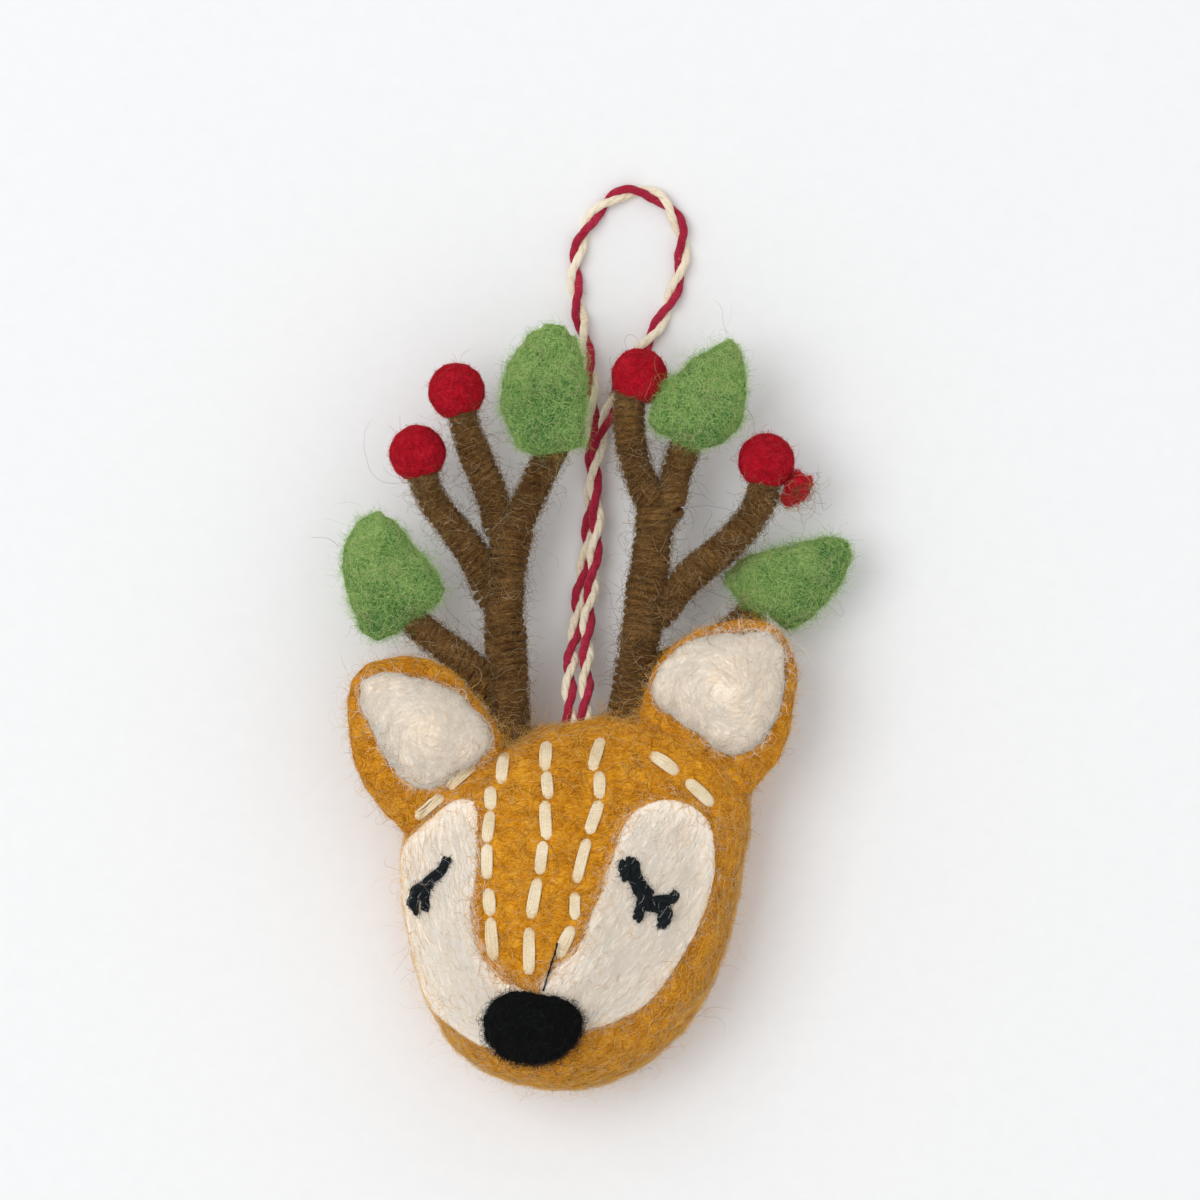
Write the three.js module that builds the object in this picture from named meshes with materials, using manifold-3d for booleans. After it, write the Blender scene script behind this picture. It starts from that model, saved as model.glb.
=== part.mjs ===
// A hanging ornament: a needle-felted deer head with wrapped-wire antlers, felt berries and leaves,
// and a loop of two-ply twine. It lies on the flat of its back, face up. Millimetres, +Z up, +Y from
// the chin to the loop. The origin is on the resting plane, under the middle of the head.
import * as THREE from "three";
import { mergeVertices } from "three/addons/utils/BufferGeometryUtils.js";
import Module from "manifold-3d";

const wasm = await Module();
wasm.setup();

// Driving sizes of the head
const HEAD_WIDTH = 61.4;
const HEAD_LENGTH = 65.8;
const HEAD_MIDDLE_HEIGHT = 14;
const FACE_HEIGHT = 17.5;
const MUZZLE_RISE = 5;
const MUZZLE_RADIUS = 12;
const FLAT_DEPTH = 0.5;
const COVER_THICKNESS = 3;
const PATCH_THICKNESS = 0.9;
const SEAM_GAP = 0.3;

// Driving sizes of the face
const NOSE_WIDTH = 17.2;
const NOSE_LENGTH = 13.8;
const NOSE_HEIGHT = 10;
const NOSE_PROUD = 0.6;
const FLOSS_WIDTH = 2.2;
const FLOSS_HEIGHT = 2.4;
const FLOSS_UNDER_DIAMETER = 0.9;
const FLOSS_UNDER_DEPTH = 1.3;
const EYE_THREAD_DIAMETER = 1.5;
const NOSE_THREAD_DIAMETER = 0.8;

// Driving sizes of the ears
const EAR_SIZE = 27;
const EAR_HEIGHT = 17.5;
const EAR_FRONT = 4.2;
const EAR_BACK = 5.4;
const LINING_LIFT = 2;
const LINING_FRONT = 3.6;
const LINING_BACK = 3;

// Driving sizes of the antlers
const ANTLER_LENGTH = 57;
const STEM_BASE_RADIUS = 3.5;
const STEM_TOP_RADIUS = 3.2;
const TINE_BASE_RADIUS = 2.9;
const TINE_TIP_RADIUS = 2.3;
const WIRE_DIAMETER = 1;
const WIRE_ROOT = 9;
const WIRE_END_COVER = 1.2;

// Driving sizes of what the antlers carry
const BERRY_DIAMETER = 9.9;
const BERRY_SEAT_DEPTH = 2.6;
const TUFT_LENGTH = 6.4;
const TUFT_WIDTH = 4.4;
const TUFT_HEIGHT = 4;
const LEAF_SIZE = 23;
const LEAF_THICKNESS = 3.6;
const LEAF_SEAT_LENGTH = 5;
const LEAF_SEAT_DEPTH = 1.2;

// Driving sizes of the hanging cord
const CORD_DIAMETER = 2.7;
const KNOT_DIAMETER = 8;
const KNOT_LENGTH = 6;

// How finely the round forms are drawn
const HEAD_SIDES = 36;
const HEAD_RINGS = 7;
const INNER_SIDES = 20;
const INNER_RINGS = 5;
const EAR_SIDES = 24;
const LINING_SIDES = 18;
const SMALL_RINGS = 4;
const LEAF_SIDES = 20;
const LEAF_RINGS = 2;
const LIMB_SIDES = 10;
const WIRE_SIDES = 5;
const THREAD_SIDES = 5;
const CORD_SIDES = 8;
const CORD_STEPS = 46;
const BALL_SIDES = 12;
const BALL_RINGS = 7;
const NOSE_SIDES = 18;
const TUFT_SIDES = 9;
const TUFT_RINGS = 6;
const BEAD_SIDES = 6;
const BEAD_RINGS = 4;

// Closed outline of the head seen from the front, as shares of its width and length
const HEAD_OUTLINE_SHARES = [
  [0.13, 0.51], [0.24, 0.51], [0.36, 0.49], [0.46, 0.41], [0.5, 0.29], [0.48, 0.12],
  [0.46, 0.01], [0.43, -0.11], [0.37, -0.25], [0.28, -0.36], [0.17, -0.44], [0.01, -0.49],
  [-0.14, -0.48], [-0.28, -0.43], [-0.37, -0.35], [-0.43, -0.23], [-0.47, -0.09], [-0.49, 0.04],
  [-0.49, 0.15], [-0.46, 0.27], [-0.37, 0.36], [-0.21, 0.43], [-0.04, 0.49],
];
const BACK_HEART_SHARES = [0, 0.1];
const FACE_HEART_SHARES = [-0.06, -0.14];
const MUZZLE_HEART_SHARES = [-0.1, -0.26];

// The cream patches, as shares of the head's width and length
const LEFT_PATCH_SHARES = [
  [-0.29, 0.29], [-0.29, 0.19], [-0.29, 0.09], [-0.31, -0.02], [-0.29, -0.11], [-0.25, -0.18],
  [-0.19, -0.215], [-0.12, -0.225], [-0.12, -0.36], [-0.25, -0.39], [-0.33, -0.35], [-0.43, -0.28],
  [-0.55, -0.2], [-0.57, 0.01], [-0.54, 0.15], [-0.47, 0.2], [-0.41, 0.25], [-0.35, 0.29],
];
const RIGHT_PATCH_SHARES = [
  [0.29, 0.29], [0.21, 0.28], [0.15, 0.24], [0.12, 0.16], [0.09, 0.07], [0.05, -0.02],
  [0.02, -0.1], [-0.04, -0.16], [-0.1, -0.2], [-0.1, -0.36], [0.01, -0.34], [0.11, -0.32],
  [0.22, -0.26], [0.3, -0.16], [0.36, -0.06], [0.4, 0.05], [0.41, 0.16], [0.38, 0.25],
];
const PATCH_LOW_SHARE = 0.75;

// Stitches of each thread as pairs of ends, in shares of the head's width and length
const STITCH_SHARES = [
  ["forehead_thread_left", [
    [-0.2, 0.4], [-0.21, 0.33], [-0.24, 0.31], [-0.24, 0.26], [-0.24, 0.245], [-0.25, 0.175],
    [-0.25, 0.16], [-0.25, 0.075], [-0.245, 0.04], [-0.24, -0.02], [-0.24, -0.035], [-0.23, -0.14],
  ]],
  ["forehead_thread_middle", [
    [-0.08, 0.43], [-0.085, 0.365], [-0.08, 0.35], [-0.075, 0.29], [-0.085, 0.275], [-0.08, 0.18],
    [-0.09, 0.165], [-0.1, 0.09], [-0.105, 0.07], [-0.125, -0.03], [-0.13, -0.06], [-0.13, -0.18],
  ]],
  ["forehead_thread_right", [
    [0.075, 0.44], [0.05, 0.365], [0.07, 0.35], [0.07, 0.29], [0.07, 0.275], [0.04, 0.195],
    [0.035, 0.175], [0.005, 0.065], [0, 0.03], [0, -0.03], [-0.01, -0.06], [-0.045, -0.13],
  ]],
  ["brow_thread_left", [[-0.29, 0.37], [-0.36, 0.315], [-0.38, 0.29], [-0.45, 0.235]]],
  ["brow_thread_right", [[0.22, 0.4], [0.29, 0.355], [0.32, 0.33], [0.39, 0.27]]],
];

// The sewn closed eyes: a lid line and its lashes, in shares of the head's width and length
const EYE_SHARES = [
  ["left_eye_thread", [
    [[-0.37, 0.13], [-0.38, 0.1], [-0.4, 0.07], [-0.43, 0.055], [-0.455, 0.04], [-0.47, 0.01]],
    [[-0.4, 0.07], [-0.415, 0.04], [-0.42, 0]],
    [[-0.455, 0.04], [-0.46, 0.01], [-0.455, -0.02]],
  ]],
  ["right_eye_thread", [
    [[0.155, 0.13], [0.155, 0.09], [0.18, 0.05], [0.21, 0.02], [0.24, 0.01], [0.285, 0.02]],
    [[0.18, 0.05], [0.185, 0], [0.175, -0.035]],
    [[0.24, 0.01], [0.27, -0.02], [0.245, -0.06]],
  ]],
];
const NOSE_PLACE_SHARES = [-0.118, -0.325];
const NOSE_TURN_DEGREES = 6;
const NOSE_THREAD_SHARES = [[-0.085, -0.215], [-0.065, -0.175], [-0.055, -0.135]];

// The ears: where each stands on the head, then its outlines as shares of the ear's size
const EAR_SHARES = {
  left: {
    placeShares: [-0.343, 0.307],
    outlineShares: [
      [-0.19, -0.25], [-0.34, -0.26], [-0.46, -0.14], [-0.59, 0.03], [-0.67, 0.26], [-0.7, 0.49],
      [-0.68, 0.68], [-0.6, 0.8], [-0.45, 0.86], [-0.26, 0.87], [-0.1, 0.83], [0.03, 0.74],
      [0.16, 0.58], [0.26, 0.44], [0.32, 0.3], [0.26, 0.17], [0.03, 0.01], [-0.1, -0.14],
    ],
    liningShares: [
      [-0.6, 0.7], [-0.61, 0.6], [-0.55, 0.44], [-0.48, 0.27], [-0.39, 0.11], [-0.25, 0.01],
      [-0.12, 0.02], [0, 0.11], [0.15, 0.2], [0.25, 0.29], [0.2, 0.42], [0.08, 0.55],
      [-0.05, 0.65], [-0.21, 0.71], [-0.44, 0.75],
    ],
  },
  right: {
    placeShares: [0.357, 0.4],
    outlineShares: [
      [-0.38, 0.2], [-0.36, 0.42], [-0.31, 0.56], [-0.21, 0.69], [-0.06, 0.8], [0.13, 0.86],
      [0.36, 0.88], [0.52, 0.82], [0.6, 0.69], [0.63, 0.52], [0.61, 0.32], [0.58, 0.13],
      [0.51, -0.03], [0.37, -0.19], [0.2, -0.27], [-0.06, -0.13], [-0.27, 0.02],
    ],
    liningShares: [
      [-0.3, 0.45], [-0.25, 0.6], [-0.14, 0.7], [0.02, 0.76], [0.23, 0.78], [0.43, 0.8],
      [0.51, 0.73], [0.56, 0.56], [0.53, 0.38], [0.49, 0.22], [0.38, 0.06], [0.27, -0.01],
      [0.16, -0.04], [0.06, 0.02], [-0.04, 0.13], [-0.18, 0.23], [-0.28, 0.33],
    ],
  },
};

// The antlers: each base on the head, and centre lines as shares of the antler's length from there
const ANTLER_SHARES = {
  left: {
    baseShares: [-0.18, 0.45],
    stemShares: [
      [0.01, -0.12, 0], [0, 0, 0], [-0.01, 0.14, 0], [-0.02, 0.29, 0], [-0.02, 0.45, 0],
      [-0.01, 0.56, 0], [0, 0.63, 0],
    ],
    tines: {
      inner: { leaf: true, lineShares: [[0, 0.61, 0], [0.06, 0.75, 0.01], [0.11, 0.85, 0.01]] },
      outer: { lineShares: [[-0.01, 0.61, 0], [-0.06, 0.74, 0], [-0.12, 0.88, 0], [-0.17, 1.06, 0.01]] },
      upper: {
        lineShares: [[-0.03, 0.42, 0], [-0.1, 0.54, 0], [-0.2, 0.66, 0], [-0.26, 0.76, 0], [-0.29, 0.87, 0]],
      },
      lower: {
        leaf: true,
        lineShares: [[-0.02, 0.13, 0], [-0.13, 0.22, 0], [-0.23, 0.29, 0], [-0.3, 0.36, 0]],
      },
    },
  },
  right: {
    baseShares: [0.157, 0.515],
    stemShares: [
      [-0.01, -0.12, 0], [0, 0, 0], [0.02, 0.13, 0], [0.03, 0.27, 0], [0.06, 0.41, 0],
      [0.07, 0.53, 0], [0.08, 0.61, 0],
    ],
    tines: {
      inner: {
        lineShares: [[0.08, 0.59, 0], [0.03, 0.73, 0], [0, 0.84, 0], [-0.01, 0.93, 0], [0.03, 1.03, 0]],
      },
      outer: { leaf: true, lineShares: [[0.08, 0.59, 0], [0.13, 0.69, 0], [0.17, 0.82, 0]] },
      upper: {
        lineShares: [[0.05, 0.31, 0], [0.15, 0.38, 0], [0.29, 0.51, 0], [0.4, 0.62, 0], [0.42, 0.77, 0.01]],
      },
      lower: {
        leaf: true,
        lineShares: [[0.02, 0.11, 0], [0.16, 0.16, -0.11], [0.27, 0.2, -0.12], [0.36, 0.3, -0.1]],
      },
    },
  },
};
const TUFT_PLACE_SHARES = [0.51, 0.685, 0];
const TUFT_TURN_DEGREES = 43;

// The leaves' outlines as shares of the leaf's size, from the end of the tine that carries each
const LEAF_OUTLINE_SHARES = {
  left_inner_shares: [
    [-0.02, 1.05], [-0.2, 0.91], [-0.31, 0.7], [-0.36, 0.5], [-0.34, 0.32], [-0.26, 0.15],
    [-0.2, 0.03], [0.01, 0.02], [0.15, 0.05], [0.28, 0.09], [0.3, 0.32], [0.31, 0.56],
    [0.26, 0.79], [0.22, 0.96], [0.12, 1.04],
  ],
  left_lower_shares: [
    [-0.27, 0.84], [-0.4, 0.77], [-0.53, 0.6], [-0.56, 0.42], [-0.53, 0.24], [-0.46, 0.07],
    [-0.4, -0.11], [-0.26, -0.18], [-0.14, -0.12], [-0.02, -0.01], [0.09, 0.06], [0.22, 0.15],
    [0.25, 0.27], [0.12, 0.42], [0.01, 0.56], [-0.12, 0.73],
  ],
  right_outer_shares: [
    [0.37, 0.83], [0.45, 0.63], [0.47, 0.4], [0.43, 0.16], [0.28, 0], [0.14, -0.04],
    [-0.04, 0.01], [-0.21, 0.09], [-0.31, 0.18], [-0.29, 0.29], [-0.18, 0.42], [-0.07, 0.55],
    [0.06, 0.65], [0.22, 0.76],
  ],
  right_lower_shares: [
    [-0.17, 0.3], [-0.1, 0.41], [0.09, 0.48], [0.33, 0.53], [0.53, 0.58], [0.73, 0.6],
    [0.82, 0.5], [0.79, 0.37], [0.71, 0.23], [0.59, 0.07], [0.47, -0.05], [0.34, -0.13],
    [0.2, -0.06], [0.06, 0.01], [-0.05, 0.09], [-0.14, 0.18],
  ],
};

// The cord's route from the knot out of the head, round the loop and back, lying on the surface
const CORD_ROUTE = [
  [-1.1, 26.6, 13], [-1.1, 31.5, 13], [-1.2, 36, 12.2], [-1.1, 40.5, 9.4], [-0.7, 45, 6],
  [0, 50, 3.2], [0.9, 55.5, 1.7], [2, 61, 1.4], [2.6, 67.5, 1.4], [3, 74, 1.4],
  [3.1, 80, 1.4], [3.1, 86, 1.4], [2.8, 92.5, 1.4], [1.6, 99.5, 1.4], [0.3, 106.5, 1.4],
  [0.1, 113, 1.4], [2.5, 119.8, 1.4], [6.5, 124, 1.4], [11, 125.3, 1.4], [15.5, 123.5, 1.4],
  [18.6, 118.5, 1.4], [18.6, 112, 1.4], [16.5, 105.5, 1.4], [13.2, 99.5, 1.4], [9.9, 94.5, 1.4],
  [7.4, 90, 2.1], [5.4, 84.8, 3.8], [4, 80, 4.5], [3.4, 74, 4.6], [3.8, 67.5, 4.5],
  [3.8, 61, 4.3], [3.3, 55.5, 4.3], [2.9, 50, 5.3], [2.5, 45, 7.3], [2.3, 40.5, 10.1],
  [2.2, 36, 12.5], [2.1, 31.5, 13], [2.1, 26.6, 13],
];

// Colours and finishes
const wool = (name, color, roughness) =>
  new THREE.MeshStandardMaterial({ name, color, roughness, metalness: 0 });
const MUSTARD = wool("mustard_wool", "#C8860D", 0.95);
const CREAM = wool("cream_wool", "#EDE4DB", 0.95);
const CORE_WOOL = wool("core_wool", "#D8CFC0", 0.95);
const BLACK = wool("black_wool", "#17181A", 0.9);
const BROWN = wool("brown_wool", "#6B4A22", 0.95);
const GREEN = wool("green_felt", "#5E9E4B", 0.95);
const RED = wool("red_felt", "#B5101F", 0.9);
const FLOSS = wool("cream_floss", "#F2E2C6", 0.6);
const BLACK_THREAD = wool("black_thread", "#1D2326", 0.7);
const TWINE = wool("red_and_cream_twine", "#B7485A", 0.8);
const WIRE = new THREE.MeshStandardMaterial({
  name: "steel_wire", color: "#8A8D90", roughness: 0.4, metalness: 1,
});

const ornament = new THREE.Group();

// Geometry of plain closed forms
function signedVolume(geometry) {
  const place = geometry.attributes.position;
  const corners = [new THREE.Vector3(), new THREE.Vector3(), new THREE.Vector3()];
  let volume = 0;
  for (let i = 0; i < geometry.index.count; i += corners.length) {
    corners.forEach((corner, k) => corner.fromBufferAttribute(place, geometry.index.getX(i + k)));
    volume += corners[0].dot(corners[1].clone().cross(corners[2]));
  }
  return volume;
}

function solidOf(geometry) {
  const bare = geometry.clone();
  bare.deleteAttribute("normal");
  bare.deleteAttribute("uv");
  const merged = mergeVertices(bare);
  const triVerts = Uint32Array.from(merged.index.array);
  if (signedVolume(merged) < 0) {
    triVerts.reverse();
  }
  const vertProperties = Float32Array.from(merged.attributes.position.array);
  return new wasm.Manifold(new wasm.Mesh({ numProp: 3, vertProperties, triVerts }));
}

function geometryOf(solid) {
  const mesh = solid.getMesh();
  const geometry = new THREE.BufferGeometry();
  geometry.setAttribute("position", new THREE.BufferAttribute(mesh.vertProperties, mesh.numProp));
  geometry.setIndex(new THREE.BufferAttribute(mesh.triVerts, 1));
  geometry.computeVertexNormals();
  return geometry;
}

function addPiece(name, solid, material) {
  const piece = new THREE.Mesh(geometryOf(solid), material);
  piece.name = name;
  ornament.add(piece);
}

function joined(solids) {
  return solids.reduce((sum, solid) => sum.add(solid));
}

function cutBy(solid, tools) {
  return tools.reduce((rest, tool) => rest.subtract(tool), solid);
}

// A closed body through a stack of rings, pointed at both ends
function loft(rings, startPoint, endPoint) {
  const sides = rings[0].length;
  const points = [startPoint, ...rings.flat(), endPoint];
  const last = points.length - 1;
  const at = (ring, side) => 1 + ring * sides + (side % sides);
  const faces = [];
  for (let side = 0; side < sides; side++) {
    faces.push(0, at(0, side + 1), at(0, side));
    faces.push(last, at(rings.length - 1, side), at(rings.length - 1, side + 1));
    for (let ring = 0; ring < rings.length - 1; ring++) {
      faces.push(at(ring, side), at(ring, side + 1), at(ring + 1, side + 1));
      faces.push(at(ring, side), at(ring + 1, side + 1), at(ring + 1, side));
    }
  }
  const geometry = new THREE.BufferGeometry().setFromPoints(points);
  geometry.setIndex(faces);
  return geometry;
}

// An even, anticlockwise outline through hand-chosen points
function smoothOutline(shares, width, length, count) {
  const points = shares.map(([x, y]) => new THREE.Vector3(x * width, y * length, 0));
  const curve = new THREE.CatmullRomCurve3(points, true);
  const outline = curve.getSpacedPoints(count).slice(0, count);
  const flat = outline.map((point) => new THREE.Vector2(point.x, point.y));
  return THREE.ShapeUtils.isClockWise(flat) ? flat.reverse() : flat;
}

function grown(outline, by) {
  return outline.map((point, i) => {
    const before = outline[(i + outline.length - 1) % outline.length];
    const after = outline[(i + 1) % outline.length];
    const along = after.clone().sub(before).normalize();
    return new THREE.Vector2(point.x + along.y * by, point.y - along.x * by);
  });
}

// A cushion swells from its outline to a front heart and a back heart
function cushion({ outline, rings, middle, frontHeart, frontHeight, backHeart, backHeight }) {
  const layers = [];
  const layer = (heart, share, height) => outline.map((point) => {
    const x = heart.x + (point.x - heart.x) * share;
    const y = heart.y + (point.y - heart.y) * share;
    return new THREE.Vector3(x, y, height(x, y));
  });
  for (let k = 1; k <= rings; k++) {
    const turn = (k / rings) * (Math.PI / 2);
    const share = Math.sin(turn);
    layers.push(layer(backHeart, share, () => middle - backHeight(share)));
  }
  for (let k = 1; k < rings; k++) {
    const turn = (k / rings) * (Math.PI / 2);
    const share = Math.cos(turn);
    layers.push(layer(frontHeart, share, (x, y) => middle + frontHeight(share, x, y)));
  }
  const back = new THREE.Vector3(backHeart.x, backHeart.y, middle - backHeight(0));
  const top = middle + frontHeight(0, frontHeart.x, frontHeart.y);
  return solidOf(loft(layers, back, new THREE.Vector3(frontHeart.x, frontHeart.y, top)));
}

const roundShare = (share) => Math.sqrt(Math.max(0, 1 - share ** 2));
const flatShare = (share) => Math.sqrt(Math.max(0, 1 - share ** 4));

// A limb is a round rod along a centre line that tapers from one radius to another
function limb(line, startRadius, endRadius, sides) {
  const curve = new THREE.CatmullRomCurve3(line);
  const steps = line.length;
  const frames = curve.computeFrenetFrames(steps, false);
  const rings = [];
  for (let k = 0; k <= steps; k++) {
    const share = k / steps;
    const centre = curve.getPointAt(share);
    const radius = THREE.MathUtils.lerp(startRadius, endRadius, share);
    const ring = [];
    for (let side = 0; side < sides; side++) {
      const turn = (side / sides) * Math.PI * 2;
      ring.push(centre.clone()
        .addScaledVector(frames.normals[k], radius * Math.cos(turn))
        .addScaledVector(frames.binormals[k], radius * Math.sin(turn)));
    }
    rings.push(ring);
  }
  return solidOf(loft(rings, curve.getPointAt(0), curve.getPointAt(1)));
}

// An egg-shaped body, turned about the vertical
function egg(place, size, degrees, sides, rings) {
  const geometry = new THREE.SphereGeometry(1, sides, rings);
  geometry.scale(size.x / 2, size.y / 2, size.z / 2);
  geometry.rotateZ(THREE.MathUtils.degToRad(degrees));
  geometry.translate(place.x, place.y, place.z);
  return solidOf(geometry);
}

function slab(low, high) {
  const size = high.clone().sub(low);
  const middle = low.clone().add(high).multiplyScalar(1 / 2);
  const geometry = new THREE.BoxGeometry(size.x, size.y, size.z);
  geometry.translate(middle.x, middle.y, middle.z);
  return solidOf(geometry);
}

// The head's surface, which everything on the head is placed by
const onHead = ([x, y]) => new THREE.Vector2(x * HEAD_WIDTH, y * HEAD_LENGTH);
const faceHeart = onHead(FACE_HEART_SHARES);
const backHeart = onHead(BACK_HEART_SHARES);
const muzzleHeart = onHead(MUZZLE_HEART_SHARES);
const headOutline = smoothOutline(HEAD_OUTLINE_SHARES, HEAD_WIDTH, HEAD_LENGTH, HEAD_SIDES);
const innerOutline = smoothOutline(HEAD_OUTLINE_SHARES, HEAD_WIDTH, HEAD_LENGTH, INNER_SIDES);

function muzzleRise(x, y) {
  const away = Math.hypot(x - muzzleHeart.x, y - muzzleHeart.y);
  return MUZZLE_RISE * Math.exp(-((away / MUZZLE_RADIUS) ** 2));
}

function headForm(outline, rings, grow) {
  return cushion({
    outline: grown(outline, grow),
    rings,
    middle: HEAD_MIDDLE_HEIGHT,
    frontHeart: faceHeart,
    frontHeight: (share, x, y) => roundShare(share) * (FACE_HEIGHT + grow + muzzleRise(x, y)),
    backHeart,
    backHeight: (share) => flatShare(share) * (HEAD_MIDDLE_HEIGHT + FLAT_DEPTH + grow),
  });
}

function cutFlat(solid, height) {
  const reach = HEAD_WIDTH + HEAD_LENGTH;
  const low = new THREE.Vector3(-reach, -reach, -reach);
  return solid.subtract(slab(low, new THREE.Vector3(reach, reach, height)));
}

function faceHeightAt(x, y, grow = 0) {
  const outline = grown(headOutline, grow);
  let share = 1;
  outline.forEach((start, i) => {
    const side = outline[(i + 1) % outline.length].clone().sub(start);
    const way = new THREE.Vector2(x, y).sub(faceHeart);
    const toStart = start.clone().sub(faceHeart);
    const cross = way.cross(side);
    const along = toStart.cross(way) / cross;
    const reach = toStart.cross(side) / cross;
    if (along >= 0 && along <= 1 && reach > 0) {
      share = 1 / reach;
    }
  });
  const height = roundShare(Math.min(share, 1)) * (FACE_HEIGHT + grow + muzzleRise(x, y));
  return HEAD_MIDDLE_HEIGHT + height;
}

function onFace(shares, above) {
  const { x, y } = onHead(shares);
  return new THREE.Vector3(x, y, faceHeightAt(x, y) + above);
}

// How a thing lying on the face leans with it there
function faceLean(x, y) {
  const step = FLOSS_WIDTH / 2;
  const slopeX = (faceHeightAt(x + step, y) - faceHeightAt(x - step, y)) / (2 * step);
  const slopeY = (faceHeightAt(x, y + step) - faceHeightAt(x, y - step)) / (2 * step);
  const up = new THREE.Vector3(-slopeX, -slopeY, 1).normalize();
  return new THREE.Quaternion().setFromUnitVectors(new THREE.Vector3(0, 0, 1), up);
}

// Antlers: centre lines first, because the head, ears, berries and leaves are cut by them
function antlerPoint(side, [x, y, z]) {
  const base = onHead(ANTLER_SHARES[side].baseShares);
  return new THREE.Vector3(
    base.x + x * ANTLER_LENGTH,
    base.y + y * ANTLER_LENGTH,
    HEAD_MIDDLE_HEIGHT + z * ANTLER_LENGTH,
  );
}

function lengthened(line, by) {
  const end = line[line.length - 1];
  const way = end.clone().sub(line[line.length - 2]).normalize();
  return [...line.slice(0, -1), end.clone().addScaledVector(way, by)];
}

function tineLine(side, tine) {
  const line = tine.lineShares.map((share) => antlerPoint(side, share));
  return lengthened(line, tine.leaf ? LEAF_SEAT_LENGTH : BERRY_SEAT_DEPTH - BERRY_DIAMETER / 2);
}

function tineForm(side, tine, grow = 0) {
  return limb(tineLine(side, tine), TINE_BASE_RADIUS + grow, TINE_TIP_RADIUS + grow, LIMB_SIDES);
}

function stemLine(side) {
  return ANTLER_SHARES[side].stemShares.map((share) => antlerPoint(side, share));
}

function stemForm(side, grow = 0) {
  return limb(stemLine(side), STEM_BASE_RADIUS + grow, STEM_TOP_RADIUS + grow, LIMB_SIDES);
}

function wireForm(side, grow = 0) {
  const radius = WIRE_DIAMETER / 2 + grow;
  const stem = stemLine(side);
  const way = stem[1].clone().sub(stem[0]).normalize();
  const root = stem[0].clone().addScaledVector(way, -WIRE_ROOT - grow);
  const lines = [[root, ...stem]];
  for (const tine of Object.values(ANTLER_SHARES[side].tines)) {
    lines.push(lengthened(tineLine(side, tine), grow - WIRE_END_COVER));
  }
  return joined(lines.map((line) => limb(line, radius, radius, WIRE_SIDES)));
}

const wires = { left: wireForm("left"), right: wireForm("right") };
const wireBores = { left: wireForm("left", SEAM_GAP), right: wireForm("right", SEAM_GAP) };
const stemClearance = { left: stemForm("left", SEAM_GAP), right: stemForm("right", SEAM_GAP) };

// The hanging cord and the knot that holds its two ends
const cordCurve = new THREE.CatmullRomCurve3(CORD_ROUTE.map((point) => new THREE.Vector3(...point)));

function cordForm(grow = 0) {
  const section = new THREE.Shape();
  const radius = CORD_DIAMETER / 2 + grow;
  for (let side = 0; side < CORD_SIDES; side++) {
    const turn = ((side + 1 / 2) / CORD_SIDES) * Math.PI * 2;
    const [x, y] = [radius * Math.cos(turn), radius * Math.sin(turn)];
    if (side === 0) {
      section.moveTo(x, y);
    } else {
      section.lineTo(x, y);
    }
  }
  const options = { steps: CORD_STEPS, extrudePath: cordCurve, bevelEnabled: false };
  return solidOf(new THREE.ExtrudeGeometry(section, options));
}

const cordEnds = [CORD_ROUTE[0], CORD_ROUTE[CORD_ROUTE.length - 1]];
const knotPlace = new THREE.Vector3(
  (cordEnds[0][0] + cordEnds[1][0]) / 2,
  cordEnds[0][1] - SEAM_GAP - KNOT_LENGTH / 2,
  cordEnds[0][2],
);

function knotForm(grow = 0) {
  const geometry = new THREE.CylinderGeometry(1, 1, 1, BALL_SIDES);
  const width = KNOT_DIAMETER + grow * 2;
  geometry.scale(width / 2, KNOT_LENGTH + grow * 2, width / 2);
  geometry.translate(knotPlace.x, knotPlace.y, knotPlace.z);
  return solidOf(geometry);
}

const cord = cordForm();
const cordBore = cordForm(SEAM_GAP);

// Threads sewn through the top coat: a bead for each stitch, and a run under the surface
function stitchBead(start, end, grow) {
  const middle = start.clone().add(end).multiplyScalar(1 / 2);
  const way = end.clone().sub(start);
  const size = new THREE.Vector3(way.length(), FLOSS_WIDTH, FLOSS_HEIGHT).addScalar(grow * 2);
  const geometry = new THREE.SphereGeometry(1, BEAD_SIDES, BEAD_RINGS);
  geometry.rotateX(Math.PI / 2);
  geometry.scale(size.x / 2, size.y / 2, size.z / 2);
  const up = new THREE.Vector3(0, 0, 1).applyQuaternion(faceLean(middle.x, middle.y));
  const along = way.normalize();
  const across = up.clone().cross(along).normalize();
  const above = along.clone().cross(across);
  geometry.applyMatrix4(new THREE.Matrix4().makeBasis(along, across, above).setPosition(middle));
  return solidOf(geometry);
}

function sewnThread(stitches, grow = 0) {
  const ends = stitches.map((share) => onFace(share, 0));
  const beads = [];
  for (let i = 0; i < ends.length; i += 2) {
    beads.push(stitchBead(ends[i], ends[i + 1], grow));
  }
  const under = [];
  for (let i = 0; i < ends.length; i += 2) {
    const middle = stitches[i].map((share, axis) => (share + stitches[i + 1][axis]) / 2);
    under.push(onFace(middle, -FLOSS_UNDER_DEPTH));
  }
  const radius = FLOSS_UNDER_DIAMETER / 2 + grow;
  const run = limb(lengthened(under, grow), radius, radius, THREAD_SIDES);
  return joined([run, ...beads]);
}

const threadClearances = STITCH_SHARES.map(([, stitches]) => sewnThread(stitches, SEAM_GAP));

// Head core, top coat and patches
const bores = [wireBores.left, wireBores.right, cordBore, knotForm(SEAM_GAP)];
const headOuter = cutFlat(headForm(headOutline, HEAD_RINGS, 0), 0);
const headClearance = headForm(headOutline, HEAD_RINGS, SEAM_GAP);

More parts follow.
